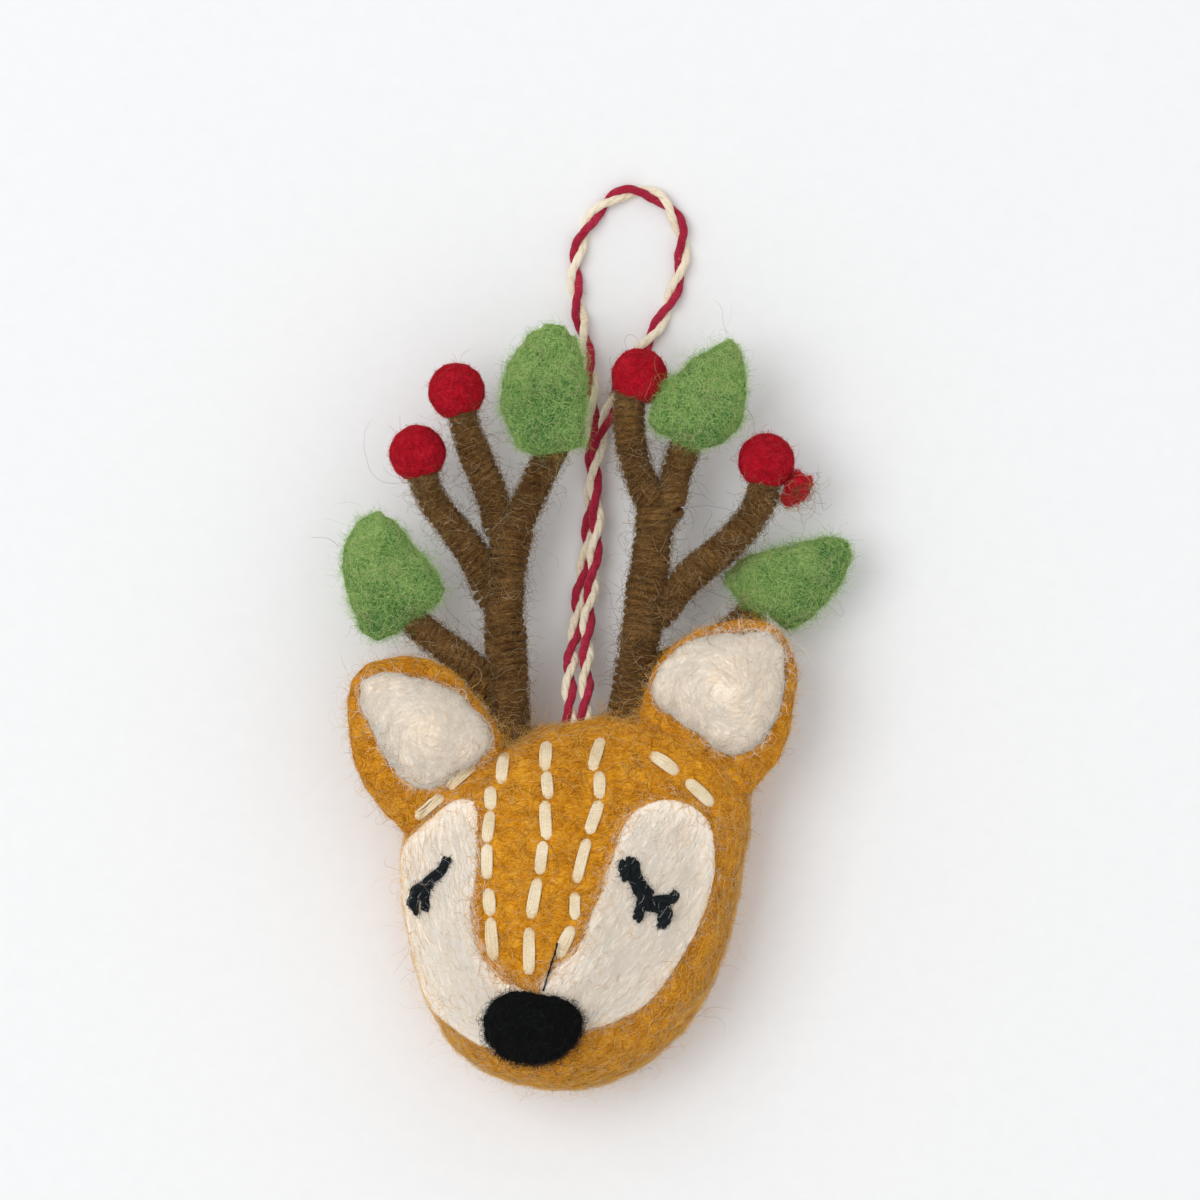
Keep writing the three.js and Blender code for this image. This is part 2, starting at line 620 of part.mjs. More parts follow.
function headCore() {
  const inset = COVER_THICKNESS + SEAM_GAP;
  return cutBy(cutFlat(headForm(innerOutline, INNER_RINGS, -inset), inset), bores);
}

function headCover() {
  const hollow = cutFlat(headForm(innerOutline, INNER_RINGS, -COVER_THICKNESS), COVER_THICKNESS);
  return cutBy(headOuter, [hollow, ...bores.slice(0, -1), ...threadClearances]);
}

function patchColumn(shares, grow = 0) {
  const outline = grown(smoothOutline(shares, HEAD_WIDTH, HEAD_LENGTH, HEAD_SIDES), grow);
  const depth = FACE_HEIGHT + MUZZLE_RISE + HEAD_MIDDLE_HEIGHT;
  const column = new THREE.ExtrudeGeometry(new THREE.Shape(outline), { depth, bevelEnabled: false });
  column.translate(0, 0, HEAD_MIDDLE_HEIGHT * PATCH_LOW_SHARE);
  return solidOf(column);
}

function facePatch(shares, neighbours) {
  const skin = headForm(headOutline, HEAD_RINGS, SEAM_GAP + PATCH_THICKNESS);
  return cutBy(skin.intersect(patchColumn(shares)), [headClearance, ...threadClearances, ...neighbours]);
}

const leftPatchClearance = patchColumn(LEFT_PATCH_SHARES, SEAM_GAP);
addPiece("head_core", headCore(), CORE_WOOL);
addPiece("head_cover", headCover(), MUSTARD);
addPiece("left_face_patch", facePatch(LEFT_PATCH_SHARES, []), CREAM);
addPiece("right_face_patch", facePatch(RIGHT_PATCH_SHARES, [leftPatchClearance]), CREAM);

// Nose, with its thread end
const noseSeat = headForm(headOutline, HEAD_RINGS, PATCH_THICKNESS + SEAM_GAP * 2);

function nose() {
  const place = onFace(NOSE_PLACE_SHARES, PATCH_THICKNESS + NOSE_PROUD);
  const size = new THREE.Vector3(NOSE_WIDTH, NOSE_LENGTH, NOSE_HEIGHT);
  const blob = egg(place, size, NOSE_TURN_DEGREES, NOSE_SIDES, BALL_RINGS);
  return blob.subtract(noseSeat);
}

function noseThread() {
  const radius = NOSE_THREAD_DIAMETER / 2;
  const above = SEAM_GAP * 2 + PATCH_THICKNESS + radius;
  const line = NOSE_THREAD_SHARES.map((share) => onFace(share, above));
  return limb(line, radius, radius, THREAD_SIDES).subtract(nose());
}

function eyeThread(lines) {
  const radius = EYE_THREAD_DIAMETER / 2;
  return joined(lines.map((shares) => {
    const line = shares.map((share) => {
      const { x, y } = onHead(share);
      const height = faceHeightAt(x, y, PATCH_THICKNESS + SEAM_GAP) + SEAM_GAP + radius;
      return new THREE.Vector3(x, y, height);
    });
    return limb(line, radius, radius, THREAD_SIDES);
  }));
}

addPiece("nose", nose(), BLACK);
addPiece("nose_thread", noseThread(), BLACK_THREAD);
for (const [name, lines] of EYE_SHARES) {
  addPiece(name, eyeThread(lines), BLACK_THREAD);
}
for (const [name, stitches] of STITCH_SHARES) {
  addPiece(name, sewnThread(stitches), FLOSS);
}

// Ears and their linings
function earPart(shares, place, sides, middle, front, back, grow = 0) {
  const outline = grown(smoothOutline(shares, EAR_SIZE, EAR_SIZE, sides), grow);
  outline.forEach((point) => point.add(place));
  const heart = new THREE.Vector2();
  outline.forEach((point) => heart.addScaledVector(point, 1 / outline.length));
  return cushion({
    outline,
    rings: SMALL_RINGS,
    middle,
    frontHeart: heart,
    frontHeight: (share) => roundShare(share) * (front + grow),
    backHeart: heart,
    backHeight: (share) => roundShare(share) * (back + grow),
  });
}

function antlerClearances(side) {
  const tines = Object.values(ANTLER_SHARES[side].tines).map((tine) => tineForm(side, tine, SEAM_GAP));
  return [stemClearance[side], ...tines];
}

for (const [side, ear] of Object.entries(EAR_SHARES)) {
  const place = onHead(ear.placeShares);
  const tools = [headClearance, ...antlerClearances(side), ...threadClearances];
  const liningHeight = EAR_HEIGHT + LINING_LIFT;
  const lining = (grow) =>
    earPart(ear.liningShares, place, LINING_SIDES, liningHeight, LINING_FRONT, LINING_BACK, grow);
  const shell = earPart(ear.outlineShares, place, EAR_SIDES, EAR_HEIGHT, EAR_FRONT, EAR_BACK);
  addPiece(`${side}_ear`, cutBy(shell, [lining(SEAM_GAP), ...tools]), MUSTARD);
  addPiece(`${side}_ear_lining`, cutBy(lining(0), tools), CREAM);
}

// Antlers, with their berries and leaves
function berryForm(side, tine, grow = 0) {
  const centre = antlerPoint(side, tine.lineShares[tine.lineShares.length - 1]);
  const across = BERRY_DIAMETER + grow * 2;
  return egg(centre, new THREE.Vector3(across, across, across), 0, BALL_SIDES, BALL_RINGS);
}

function leafForm(side, name, tine) {
  const end = antlerPoint(side, tine.lineShares[tine.lineShares.length - 1]);
  const shares = LEAF_OUTLINE_SHARES[`${side}_${name}_shares`];
  const outline = smoothOutline(shares, LEAF_SIZE, LEAF_SIZE, LEAF_SIDES);
  outline.forEach((point) => point.add(new THREE.Vector2(end.x, end.y)));
  const heart = new THREE.Vector2();
  outline.forEach((point) => heart.addScaledVector(point, 1 / outline.length));
  const half = LEAF_THICKNESS / 2;
  return cushion({
    outline,
    rings: LEAF_RINGS,
    middle: end.z + TINE_TIP_RADIUS - LEAF_SEAT_DEPTH + half,
    frontHeart: heart,
    frontHeight: (share) => Math.sqrt(roundShare(share)) * half,
    backHeart: heart,
    backHeight: (share) => Math.sqrt(roundShare(share)) * half,
  });
}

for (const [side, antler] of Object.entries(ANTLER_SHARES)) {
  addPiece(`${side}_antler_wire`, wires[side], WIRE);
  addPiece(`${side}_antler_stem`, cutBy(stemForm(side), [headClearance, wireBores[side]]), BROWN);
  const earlier = [headClearance, stemClearance[side], wireBores[side]];
  for (const [name, tine] of Object.entries(antler.tines)) {
    const clearance = tineForm(side, tine, SEAM_GAP);
    addPiece(`${side}_tine_${name}`, cutBy(tineForm(side, tine), earlier), BROWN);
    if (tine.leaf) {
      addPiece(`${side}_leaf_${name}`, leafForm(side, name, tine).subtract(clearance), GREEN);
    } else {
      addPiece(`${side}_berry_${name}`, berryForm(side, tine).subtract(clearance), RED);
    }
    earlier.push(clearance);
  }
}

// The loose tuft of red wool at the berry of the right upper tine
function tuft() {
  const carrier = ANTLER_SHARES.right.tines.upper;
  const place = antlerPoint("right", TUFT_PLACE_SHARES);
  const size = new THREE.Vector3(TUFT_LENGTH, TUFT_WIDTH, TUFT_HEIGHT);
  const blob = egg(place, size, TUFT_TURN_DEGREES, TUFT_SIDES, TUFT_RINGS);
  return cutBy(blob, [berryForm("right", carrier, SEAM_GAP), tineForm("right", carrier, SEAM_GAP)]);
}

addPiece("red_tuft", tuft(), RED);
addPiece("cord_knot", knotForm(), TWINE);
addPiece("hanging_cord", cord, TWINE);

export default ornament;
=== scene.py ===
# %% [markdown]
# # A needle-felted deer head ornament
#
# The real thing is a palm-sized deer head of felted wool with two antlers of wire wound with wool,
# felt berries and leaves on the antlers' ends, and a loop of two-colour twine to hang it by. It lies
# on its back on a white surface and is seen from straight above.
#
# Almost everything on it is wool, so the lesson is about one question: how does a surface look like
# wool? Three layers do it here, and each works at its own size. A mesh gives the form and its lumps,
# a procedural material gives the fine nap, and real strands, thin closed tubes, give the loose hairs
# that break up every outline.

# %% The frame: the measured solids that the looks are built on
import math
from functools import partial

import bmesh
import bpy
import numpy as np
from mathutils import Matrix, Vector, noise
from mathutils.bvhtree import BVHTree


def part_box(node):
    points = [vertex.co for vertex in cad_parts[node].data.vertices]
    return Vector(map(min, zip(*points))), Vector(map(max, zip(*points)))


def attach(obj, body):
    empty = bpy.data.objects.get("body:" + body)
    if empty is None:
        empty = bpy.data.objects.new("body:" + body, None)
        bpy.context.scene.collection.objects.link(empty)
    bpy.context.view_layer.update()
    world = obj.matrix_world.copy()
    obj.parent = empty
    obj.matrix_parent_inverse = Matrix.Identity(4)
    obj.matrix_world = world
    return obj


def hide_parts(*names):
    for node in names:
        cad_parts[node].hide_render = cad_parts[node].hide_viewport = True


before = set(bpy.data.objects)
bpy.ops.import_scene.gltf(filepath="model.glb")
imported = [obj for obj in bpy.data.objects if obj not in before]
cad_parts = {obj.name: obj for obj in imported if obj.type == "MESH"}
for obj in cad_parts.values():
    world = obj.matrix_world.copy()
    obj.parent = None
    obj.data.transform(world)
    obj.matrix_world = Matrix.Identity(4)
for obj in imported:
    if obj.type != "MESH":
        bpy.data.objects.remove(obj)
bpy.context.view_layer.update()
MM = 0.001
chance = np.random.default_rng(24)

# %% [markdown]
# ## The camera
#
# The picture was taken from straight above. A short lens would push the tall muzzle outwards, so a
# long lens far away is the better choice: the whole ornament keeps the proportions that it has on
# the table. The lens follows from the width of the view, by similar triangles.

# %% A long lens, straight down
VIEW_WIDTH = 210.5 * MM
VIEW_CENTRE = (4.4 * MM, 53.5 * MM)
FOCUS_HEIGHT = 10 * MM
CAMERA_HEIGHT = 6.0
SENSOR_WIDTH = 36.0

camera_data = bpy.data.cameras.new("camera")
camera_data.sensor_width = SENSOR_WIDTH
camera_data.lens = SENSOR_WIDTH * (CAMERA_HEIGHT - FOCUS_HEIGHT) / VIEW_WIDTH
camera_data.clip_start = 0.1
camera_data.clip_end = 20.0
camera = bpy.data.objects.new("camera", camera_data)
camera.location = (VIEW_CENTRE[0], VIEW_CENTRE[1], CAMERA_HEIGHT)
bpy.context.scene.collection.objects.link(camera)
bpy.context.scene.camera = camera
print("lens in mm:", round(camera_data.lens, 1))

# %% [markdown]
# ## Meshes from arrays
#
# Wool is thousands of strands. Blender's own operators make one object at a time, which is far too
# slow for that, so the strands are worked out as arrays of points and handed to a mesh in one go.
# Each finished piece then says what it stands for: it is fixed to the root body, and the measured solid
# that it shows is hidden.

# %% One mesh from arrays of points and faces
def mesh_piece(name, points, quads, triangles, materials, quad_slots=None, triangle_slots=None):
    points = np.asarray(points, np.float32).reshape(-1, 3)
    quads = np.asarray(quads, np.int32).reshape(-1, 4)
    triangles = np.asarray(triangles, np.int32).reshape(-1, 3)
    corners = np.concatenate([quads.ravel(), triangles.ravel()])
    quad_starts = np.arange(len(quads)) * 4
    triangle_starts = len(quads) * 4 + np.arange(len(triangles)) * 3
    starts = np.concatenate([quad_starts, triangle_starts]).astype(np.int32)
    slots = np.zeros(len(starts), np.int32)
    if quad_slots is not None:
        slots = np.concatenate([quad_slots, triangle_slots]).astype(np.int32)
    mesh = bpy.data.meshes.new(name)
    mesh.vertices.add(len(points))
    mesh.vertices.foreach_set("co", points.ravel())
    mesh.loops.add(len(corners))
    mesh.loops.foreach_set("vertex_index", corners)
    mesh.polygons.add(len(starts))
    mesh.polygons.foreach_set("loop_start", starts)
    mesh.polygons.foreach_set("material_index", slots)
    mesh.polygons.foreach_set("use_smooth", np.ones(len(starts), bool))
    for material in materials:
        mesh.materials.append(material)
    mesh.update(calc_edges=True)
    piece = bpy.data.objects.new(name, mesh)
    bpy.context.scene.collection.objects.link(piece)
    return piece


def stands_for(piece, node=None):
    """Fixes a piece to the root body and hides the measured solid that it shows, if any."""
    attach(piece, "root")
    if node:
        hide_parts(node)


# %% Closed tubes round many centre lines at once
def unit(vectors):
    return vectors / np.maximum(np.linalg.norm(vectors, axis=-1, keepdims=True), 1e-12)


def tube_arrays(lines, radii, sides):
    """lines is (strands, points, 3) and radii is (strands, points). Returns points, quads, triangles."""
    lines = np.asarray(lines, float)
    strands, steps, _ = lines.shape
    along = unit(np.gradient(lines, axis=1))
    first = along[:, 0]
    axis = np.eye(3)[np.argmin(np.abs(first), axis=1)]
    across = [unit(np.cross(first, axis))]
    for k in range(1, steps):
        last = across[-1]
        flat = last - along[:, k] * np.sum(along[:, k] * last, axis=1, keepdims=True)
        across.append(unit(flat))
    across = np.stack(across, axis=1)
    up = np.cross(along, across)
    turn = np.arange(sides) * math.tau / sides
    ring = across[:, :, None] * np.cos(turn)[:, None] + up[:, :, None] * np.sin(turn)[:, None]
    points = lines[:, :, None] + ring * np.asarray(radii)[:, :, None, None]
    ids = np.arange(strands * steps * sides).reshape(strands, steps, sides)
    a = ids[:, :-1]
    b = ids[:, 1:]
    quads = np.stack([a, np.roll(a, -1, 2), np.roll(b, -1, 2), b], axis=-1)
    caps = []
    for k in range(1, sides - 1):
        caps.append(np.stack([ids[:, 0, 0], ids[:, 0, k + 1], ids[:, 0, k]], axis=-1))
        caps.append(np.stack([ids[:, -1, 0], ids[:, -1, k], ids[:, -1, k + 1]], axis=-1))
    triangles = np.stack(caps, axis=1)
    return points.reshape(-1, 3), quads, triangles


def strand_piece(name, batches, sides, materials):
    """One piece of tubes. A batch is its lines, their radii and which of the materials each one has."""
    parts = []
    start = 0
    for lines, radii, slots in batches:
        points, quads, triangles = tube_arrays(lines, np.broadcast_to(radii, lines.shape[:2]), sides)
        slots = np.broadcast_to(slots, len(lines))
        quad_slots = np.repeat(slots, quads.shape[1] * quads.shape[2])
        triangle_slots = np.repeat(slots, triangles.shape[1])
        quads = quads.reshape(-1, 4) + start
        triangles = triangles.reshape(-1, 3) + start
        parts.append((points, quads, triangles, quad_slots, triangle_slots))
        start += len(points)
    points, quads, triangles, quad_slots, triangle_slots = map(np.concatenate, zip(*parts))
    return mesh_piece(name, points, quads, triangles, materials, quad_slots, triangle_slots)


# %% [markdown]
# ## Colours and the one node helper
#
# Colours are written as the hex values that a picture of the thing shows, which are sRGB. Blender's
# shaders count in linear light, so one function turns them. Every material below is built with one
# small function that adds a node, sets it and links it.

# %% Colour and node helpers
def linear(code):
    shares = [int(code[i : i + 2], 16) / 255 for i in (1, 3, 5)]
    light = [c / 12.92 if c <= 0.04045 else ((c + 0.055) / 1.055) ** 2.4 for c in shares]
    return (*light, 1.0)


def add_node(material, kind, settings=None, values=None, links=None):
    """A link comes from a node, which means its first output, or from one of its other outputs."""
    tree = material.node_tree
    node = tree.nodes.new("ShaderNode" + kind)
    for name, value in (settings or {}).items():
        setattr(node, name, value)
    for name, value in (values or {}).items():
        node.inputs[name].default_value = value
    for name, source in (links or {}).items():
        output = source.outputs[0] if hasattr(source, "outputs") else source
        tree.links.new(output, node.inputs[name])
    return node


def new_material(name):
    material = bpy.data.materials.new(name)
    material.use_nodes = True
    material.node_tree.nodes.clear()
    return material


def set_ramp(ramp, stops):
    while len(ramp.elements) < len(stops):
        ramp.elements.new(0.5)
    for element, (place, code) in zip(ramp.elements, stops):
        element.position = place
        element.color = linear(code)


# %% [markdown]
# ## What wool looks like from a step away
#
# Felt is made by tangling wool fibres until they hold. Its surface is a mat of short hairs in every
# direction, so it has no gloss, a soft bright edge where it turns away from the eye, and fine
# streaks that are lighter and darker than the mean. Three noises, each drawn out along its own
# direction and bent by a slower one, give streaks that cross. A real hair is 0.03 mm thick, which is
# too fine to show at this size, so the streaks are drawn about 0.2 mm wide.

# %% The material of felted wool
WOOL_IOR = 1.54
STREAK_WIDTH = 0.22 * MM
STREAK_LENGTH = 2.4 * MM
PATCH_SIZE = 7 * MM
STREAK_TURNS = ((0.3, 0.2, 0.4), (0.2, 0.5, 1.5), (0.6, 0.1, 2.6))
STREAK_SHARES = (0.5, 0.62)
RAMP_PLACES = (0.38, 0.48, 0.55, 0.66)
WANDER = 1.4 * MM
WANDER_SIZE = 4 * MM
NAP_RELIEF = 0.2 * MM


def bent_place(material):
    """Places on the object, pushed to and fro so that the streaks wander."""
    place = add_node(material, "TexCoord").outputs["Object"]
    values = {"Scale": 1 / WANDER_SIZE, "Detail": 1.0}
    slow = add_node(material, "TexNoise", None, values, {"Vector": place}).outputs["Color"]
    middle = {1: (0.5, 0.5, 0.5)}
    centred = add_node(material, "VectorMath", {"operation": "SUBTRACT"}, middle, {0: slow})
    reach = {"Scale": 2 * WANDER}
    scaled = add_node(material, "VectorMath", {"operation": "SCALE"}, reach, {0: centred})
    return add_node(material, "VectorMath", {"operation": "ADD"}, None, {0: place, 1: scaled})


def streaks(material, place, turn, width):
    shape = {"Rotation": turn, "Scale": (1 / STREAK_LENGTH, 1 / width, 1 / width)}
    turned = add_node(material, "Mapping", {"vector_type": "POINT"}, shape, {"Vector": place})
    values = {"Scale": 1.0, "Detail": 2.0, "Roughness": 0.6}
    return add_node(material, "TexNoise", None, values, {"Vector": turned})


def felt(name, stops, patch_share=0.3, bump=0.4, sheen=0.1, width=STREAK_WIDTH, tint="#FFFFFF",
         patch_size=PATCH_SIZE):
    """stops are the colours from the deepest streaks to the topmost, all of one wool. The low streaks are
    darker: painted shade between the hairs, over the wool's own uneven tone.
    """
    material = new_material(name)
    place = bent_place(material)
    hairs = streaks(material, place, STREAK_TURNS[0], width)
    # A Mix node gives the factor's share of its input 3 and the rest of its input 2.
    kind = {"data_type": "FLOAT"}
    for turn, share in zip(STREAK_TURNS[1:], STREAK_SHARES):
        links = {2: streaks(material, place, turn, width), 3: hairs}
        hairs = add_node(material, "Mix", kind, {"Factor": share}, links)
    values = {"Scale": 1 / patch_size, "Detail": 4.0, "Roughness": 0.65}
    patches = add_node(material, "TexNoise", None, values, {"Vector": place})
    height = add_node(material, "Mix", kind, {"Factor": patch_share}, {2: hairs, 3: patches})
    # Partly painted shade: the ramp darkens the streaks that the bump lowers, and the slow patches give
    # the wool's own uneven tone.
    ramp = add_node(material, "ValToRGB", links={"Fac": height})
    set_ramp(ramp.color_ramp, list(zip(RAMP_PLACES, stops)))
    values = {"Strength": bump, "Distance": NAP_RELIEF}
    relief = add_node(material, "Bump", None, values, {"Height": hairs})
    values = {
        "Roughness": 0.95,
        "IOR": WOOL_IOR,
        "Specular IOR Level": 0.1,
        "Sheen Weight": sheen,
        "Sheen Roughness": 0.6,
        "Sheen Tint": linear(tint),
    }
    links = {"Base Color": ramp, "Normal": relief}
    shader = add_node(material, "BsdfPrincipled", None, values, links)
    add_node(material, "OutputMaterial", links={"Surface": shader})
    return material


def plain_wool(name, code):
    """A single hair is too thin to show a pattern, so it has one colour and is nearly matt."""
    material = new_material(name)
    values = {
        "Base Color": linear(code), "Roughness": 0.8, "IOR": WOOL_IOR, "Specular IOR Level": 0.2
    }
    shader = add_node(material, "BsdfPrincipled", None, values)
    add_node(material, "OutputMaterial", links={"Surface": shader})
    return material


# %% [markdown]
# ## The hanging twine
#
# The loop is a two-ply twine, one ply red and one cream, each a loose bundle of three yarns. Two
# plies twisted together show as slanted bands of even length. A striped texture on a plain tube
# would give the bands, but not the notched outline where one ply passes behind the other, so both
# plies are real: each yarn is a tube on a helix round a helix.

# %% The twine's route, from the knot in the head round the loop and back
TWINE_DIAMETER = 2.7 * MM
TWINE_STEP = 0.45 * MM
PLY_PITCH = 12.4 * MM
PLY_OFFSET = 0.66 * MM
YARN_OFFSET = 0.27 * MM
YARN_RADIUS = 0.52 * MM
YARN_PITCH = 7.5 * MM
YARNS_A_PLY = 3
CURVE_STEPS = 24

TWINE_ROUTE = np.array([
    (-1, 26.6, 13), (-0.8, 31.5, 13), (-1, 36, 12.2), (-0.9, 40.5, 9.4), (-0.4, 45, 6),
    (0.4, 50, 3.2), (0.9, 55.5, 1.7), (1.9, 61, 1.4), (2.6, 67.5, 1.4), (3, 74, 1.4),
    (3.1, 80, 1.4), (3.1, 86, 1.4), (2.8, 92.5, 1.4), (1.6, 99.5, 1.4), (0.3, 106.5, 1.4),
    (0.1, 113, 1.4), (2.5, 119.8, 1.4), (6.5, 124, 1.4), (11, 125.3, 1.4), (15.5, 123.5, 1.4),
    (18.6, 118.5, 1.4), (18.6, 112, 1.4), (16.5, 105.5, 1.4), (13.2, 99.5, 1.4), (9.9, 94.5, 1.4),
    (7.4, 90, 2.1), (5.4, 84.8, 3.8), (4, 80, 4.5), (3.4, 74, 4.6), (3.8, 67.5, 4.5),
    (3.4, 61, 4.3), (2.9, 55.5, 4.3), (2.2, 50, 5.6), (2.1, 45, 7.6), (2, 40.5, 10.3),
    (1.9, 36, 12.6), (1.7, 31.5, 13), (1.9, 26.6, 13),
]) * MM  # fmt: skip


def between(places, known, values):
    """Points read off between known ones."""
    return np.stack([np.interp(places, known, values[:, k]) for k in range(3)], axis=1)


def smooth_line(points, step):
    """An even walk along a curve that passes through the points, and the curve's length."""
    points = np.asarray(points, float)
    padded = np.vstack([2 * points[0] - points[1], points, 2 * points[-1] - points[-2]])
    shares = np.linspace(0, 1, CURVE_STEPS, endpoint=False)[:, None]
    spans = []
    for k in range(1, len(padded) - 2):
        a, b, c, d = padded[k - 1 : k + 3]
        bend = 2 * b + (c - a) * shares + (2 * a - 5 * b + 4 * c - d) * shares**2
        spans.append((bend + (3 * b - a - 3 * c + d) * shares**3) / 2)
    dense = np.vstack([*spans, points[-1:]])
    gone = np.concatenate([[0], np.cumsum(np.linalg.norm(np.diff(dense, axis=0), axis=1))])
    even = np.linspace(0, gone[-1], max(2, round(gone[-1] / step) + 1))
    return between(even, gone, dense), gone[-1]


def carried_frame(line):
    """Two directions across the line that turn with it but never twist round it."""
    along = unit(np.gradient(line, axis=0))
    across = [unit(np.cross(along[0], np.eye(3)[np.argmin(np.abs(along[0]))]))]
    for step in along[1:]:
        across.append(unit(across[-1] - step * np.dot(step, across[-1])))
    across = np.array(across)
    return across, np.cross(along, across)


def turned_out(across, up, angle):
    """The direction at an angle round a line, from its two directions across."""
    return across * np.cos(angle)[:, None] + up * np.sin(angle)[:, None]


def coiled_about(line, radius, angle):
    """A line that winds round another at the given angle for each of its points."""
    return line + radius * turned_out(*carried_frame(line), angle)


twine_line, twine_length = smooth_line(TWINE_ROUTE, TWINE_STEP)
print("twine length in mm:", round(twine_length / MM, 1), "points:", len(twine_line))

# %% Two plies of three yarns
red_yarn = felt("red spun cotton", ("#8A162C", "#A31D38", "#B22A45", "#C2465C"))
cream_yarn = felt("cream spun cotton", ("#DCCAA6", "#EFE0C6", "#F6EAD5", "#FBF3E4"))


def twine_yarns(line, length, start_turn):
    gone = np.linspace(0, length, len(line))
    yarns = []
    slots = []
    for ply in range(2):
        ply_turn = start_turn + ply * math.pi + gone / PLY_PITCH * math.tau
        ply_line = coiled_about(line, PLY_OFFSET, ply_turn)
        for yarn in range(YARNS_A_PLY):
            yarn_turn = yarn * math.tau / YARNS_A_PLY - gone / YARN_PITCH * math.tau
            yarns.append(coiled_about(ply_line, YARN_OFFSET, yarn_turn))
            slots.append(ply)
    return np.array(yarns), np.array(slots)


yarns, yarn_slots = twine_yarns(twine_line, twine_length, start_turn=0.4)
twine = strand_piece("hanging_twine", [(yarns, YARN_RADIUS, yarn_slots)], 8, [red_yarn, cream_yarn])
print("twine faces:", len(twine.data.polygons))

# %% [markdown]
# ## The knot inside the head
#
# The doubled twine is stopped by a knot in the wool. Nobody sees it, but it's there on the real one,
# so it's a short overhand knot of the same twine.

# %% An overhand knot in the space that the frame keeps for it
KNOT_STEPS = 90
KNOT_FLATNESS_SHARE = 0.9
low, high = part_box("cord_knot")
knot_centre = np.array((low + high) / 2)
knot_reach = np.array(high - low) / 2 - TWINE_DIAMETER / 2
turn = np.linspace(0, math.tau, KNOT_STEPS)
overhand = np.stack([
    (np.sin(turn) + 2 * np.sin(2 * turn)) / 3,
    (np.cos(turn) - 2 * np.cos(2 * turn)) / 3,
    -np.sin(3 * turn) * KNOT_FLATNESS_SHARE,
], axis=1)
knot_line = knot_centre + overhand[:-1, [0, 2, 1]] * knot_reach
knot_yarns, knot_slots = twine_yarns(*smooth_line(knot_line, TWINE_STEP), start_turn=0.0)
knot = strand_piece("knot_of_twine", [(knot_yarns, YARN_RADIUS, knot_slots)], 6, [red_yarn, cream_yarn])
stands_for(knot, "cord_knot")

# %% The twine stands for the hanging cord
stands_for(twine, "hanging_cord")

# %% [markdown]
# ## Felted bodies
#
# A felted body is a wad of wool that was stabbed with a barbed needle until it went firm. Its form is
# soft and a little lumpy. The measured solid gives the form: it is remeshed into even small faces,
# smoothed so that no machined edge is left, grown to close the seams, and then pushed in and out by
# slow noise. That is sculpting in code, and it needs no simulation, since felt holds its own shape.

# %% Lumps, remeshing and smoothing
def lumps(points, size, depth, octaves=2):
    return np.array([depth * noise.fractal(Vector(p / size), 1.0, 2.0, octaves) for p in points])


def above_floor(points, gap=0):
    points[..., 2] = np.maximum(points[..., 2], gap)
    return points


def mesh_points(mesh):
    points = np.empty(len(mesh.vertices) * 3)
    mesh.vertices.foreach_get("co", points)
    return points.reshape(-1, 3)


def mesh_normals(mesh):
    normals = np.empty(len(mesh.vertices) * 3, np.float32)
    mesh.vertex_normals.foreach_get("vector", normals)
    return normals.reshape(-1, 3).astype(float)


def set_points(mesh, points):
    mesh.vertices.foreach_set("co", np.asarray(points, np.float32).ravel())
    mesh.update()


def points_and_faces(pieces):
    points = []
    faces = []
    for piece in pieces:
        start = len(points)
        points += [tuple(v.co) for v in piece.data.vertices]
        faces += [tuple(start + i for i in p.vertices) for p in piece.data.polygons]
    return points, faces


def tree_of(*pieces):
    return BVHTree.FromPolygons(*points_and_faces(pieces))


def felted(name, node, material, *, voxel, rounds, grow, lump_size=3, lump_depth=0.25):
    """A soft copy of a solid that stands for it, with its sizes in mm."""
    points, faces = points_and_faces([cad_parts[node]])
    mesh = bpy.data.meshes.new(name)
    mesh.from_pydata(points, [], faces)
    piece = bpy.data.objects.new(name, mesh)
    bpy.context.scene.collection.objects.link(piece)
    remesh = piece.modifiers.new("even faces", "REMESH")
    remesh.mode = "VOXEL"
    remesh.voxel_size = voxel * MM
    remesh.use_smooth_shade = True
    soft = piece.modifiers.new("soft edges", "SMOOTH")
    soft.factor = 0.5
    soft.iterations = rounds
    shown = piece.evaluated_get(bpy.context.evaluated_depsgraph_get())
    mesh = bpy.data.meshes.new_from_object(shown)
    piece.modifiers.clear()
    piece.data = mesh
    points = mesh_points(mesh)
    push = grow * MM + lumps(points, lump_size * MM, lump_depth * MM)
    set_points(mesh, above_floor(points + mesh_normals(mesh) * push[:, None]))
    mesh.materials.clear()
    mesh.materials.append(material)
    stands_for(piece, node)
    return piece


# %% [markdown]
# ## Strands that lie on a surface and strands that fly off
#
# On felt most loose hairs lie down: each starts at the skin, wanders along it in a lazy curve and
# goes back in. A few stand off and curl in the air. Both kinds are walked in small steps from a
# seeded start, so the same hairs grow on each run. A real hair is about 0.03 mm thick. Most are
# drawn at up to twice that, because a thinner one would vanish between the pixels.

# %% Seeds on a mesh, and the two kinds of strand
HAIR_ROOT = 0.05 * MM
LYING_SINK = 0.3 * HAIR_ROOT
LENGTH_SPREAD = (0.6, 1.4)
LIFT_SPREAD = (0.3, 1.6)
CURL_SPREAD = (0.35, 1.5)
THICK_SPREAD = (0.7, 1.3)
AIR_LENGTH_SHAPE = 3.0
AIR_LONGEST = 2.2
AIR_SCATTER = 0.6
AIR_STEP_SCATTER = 0.12
TIP_ANGLE = 0.25


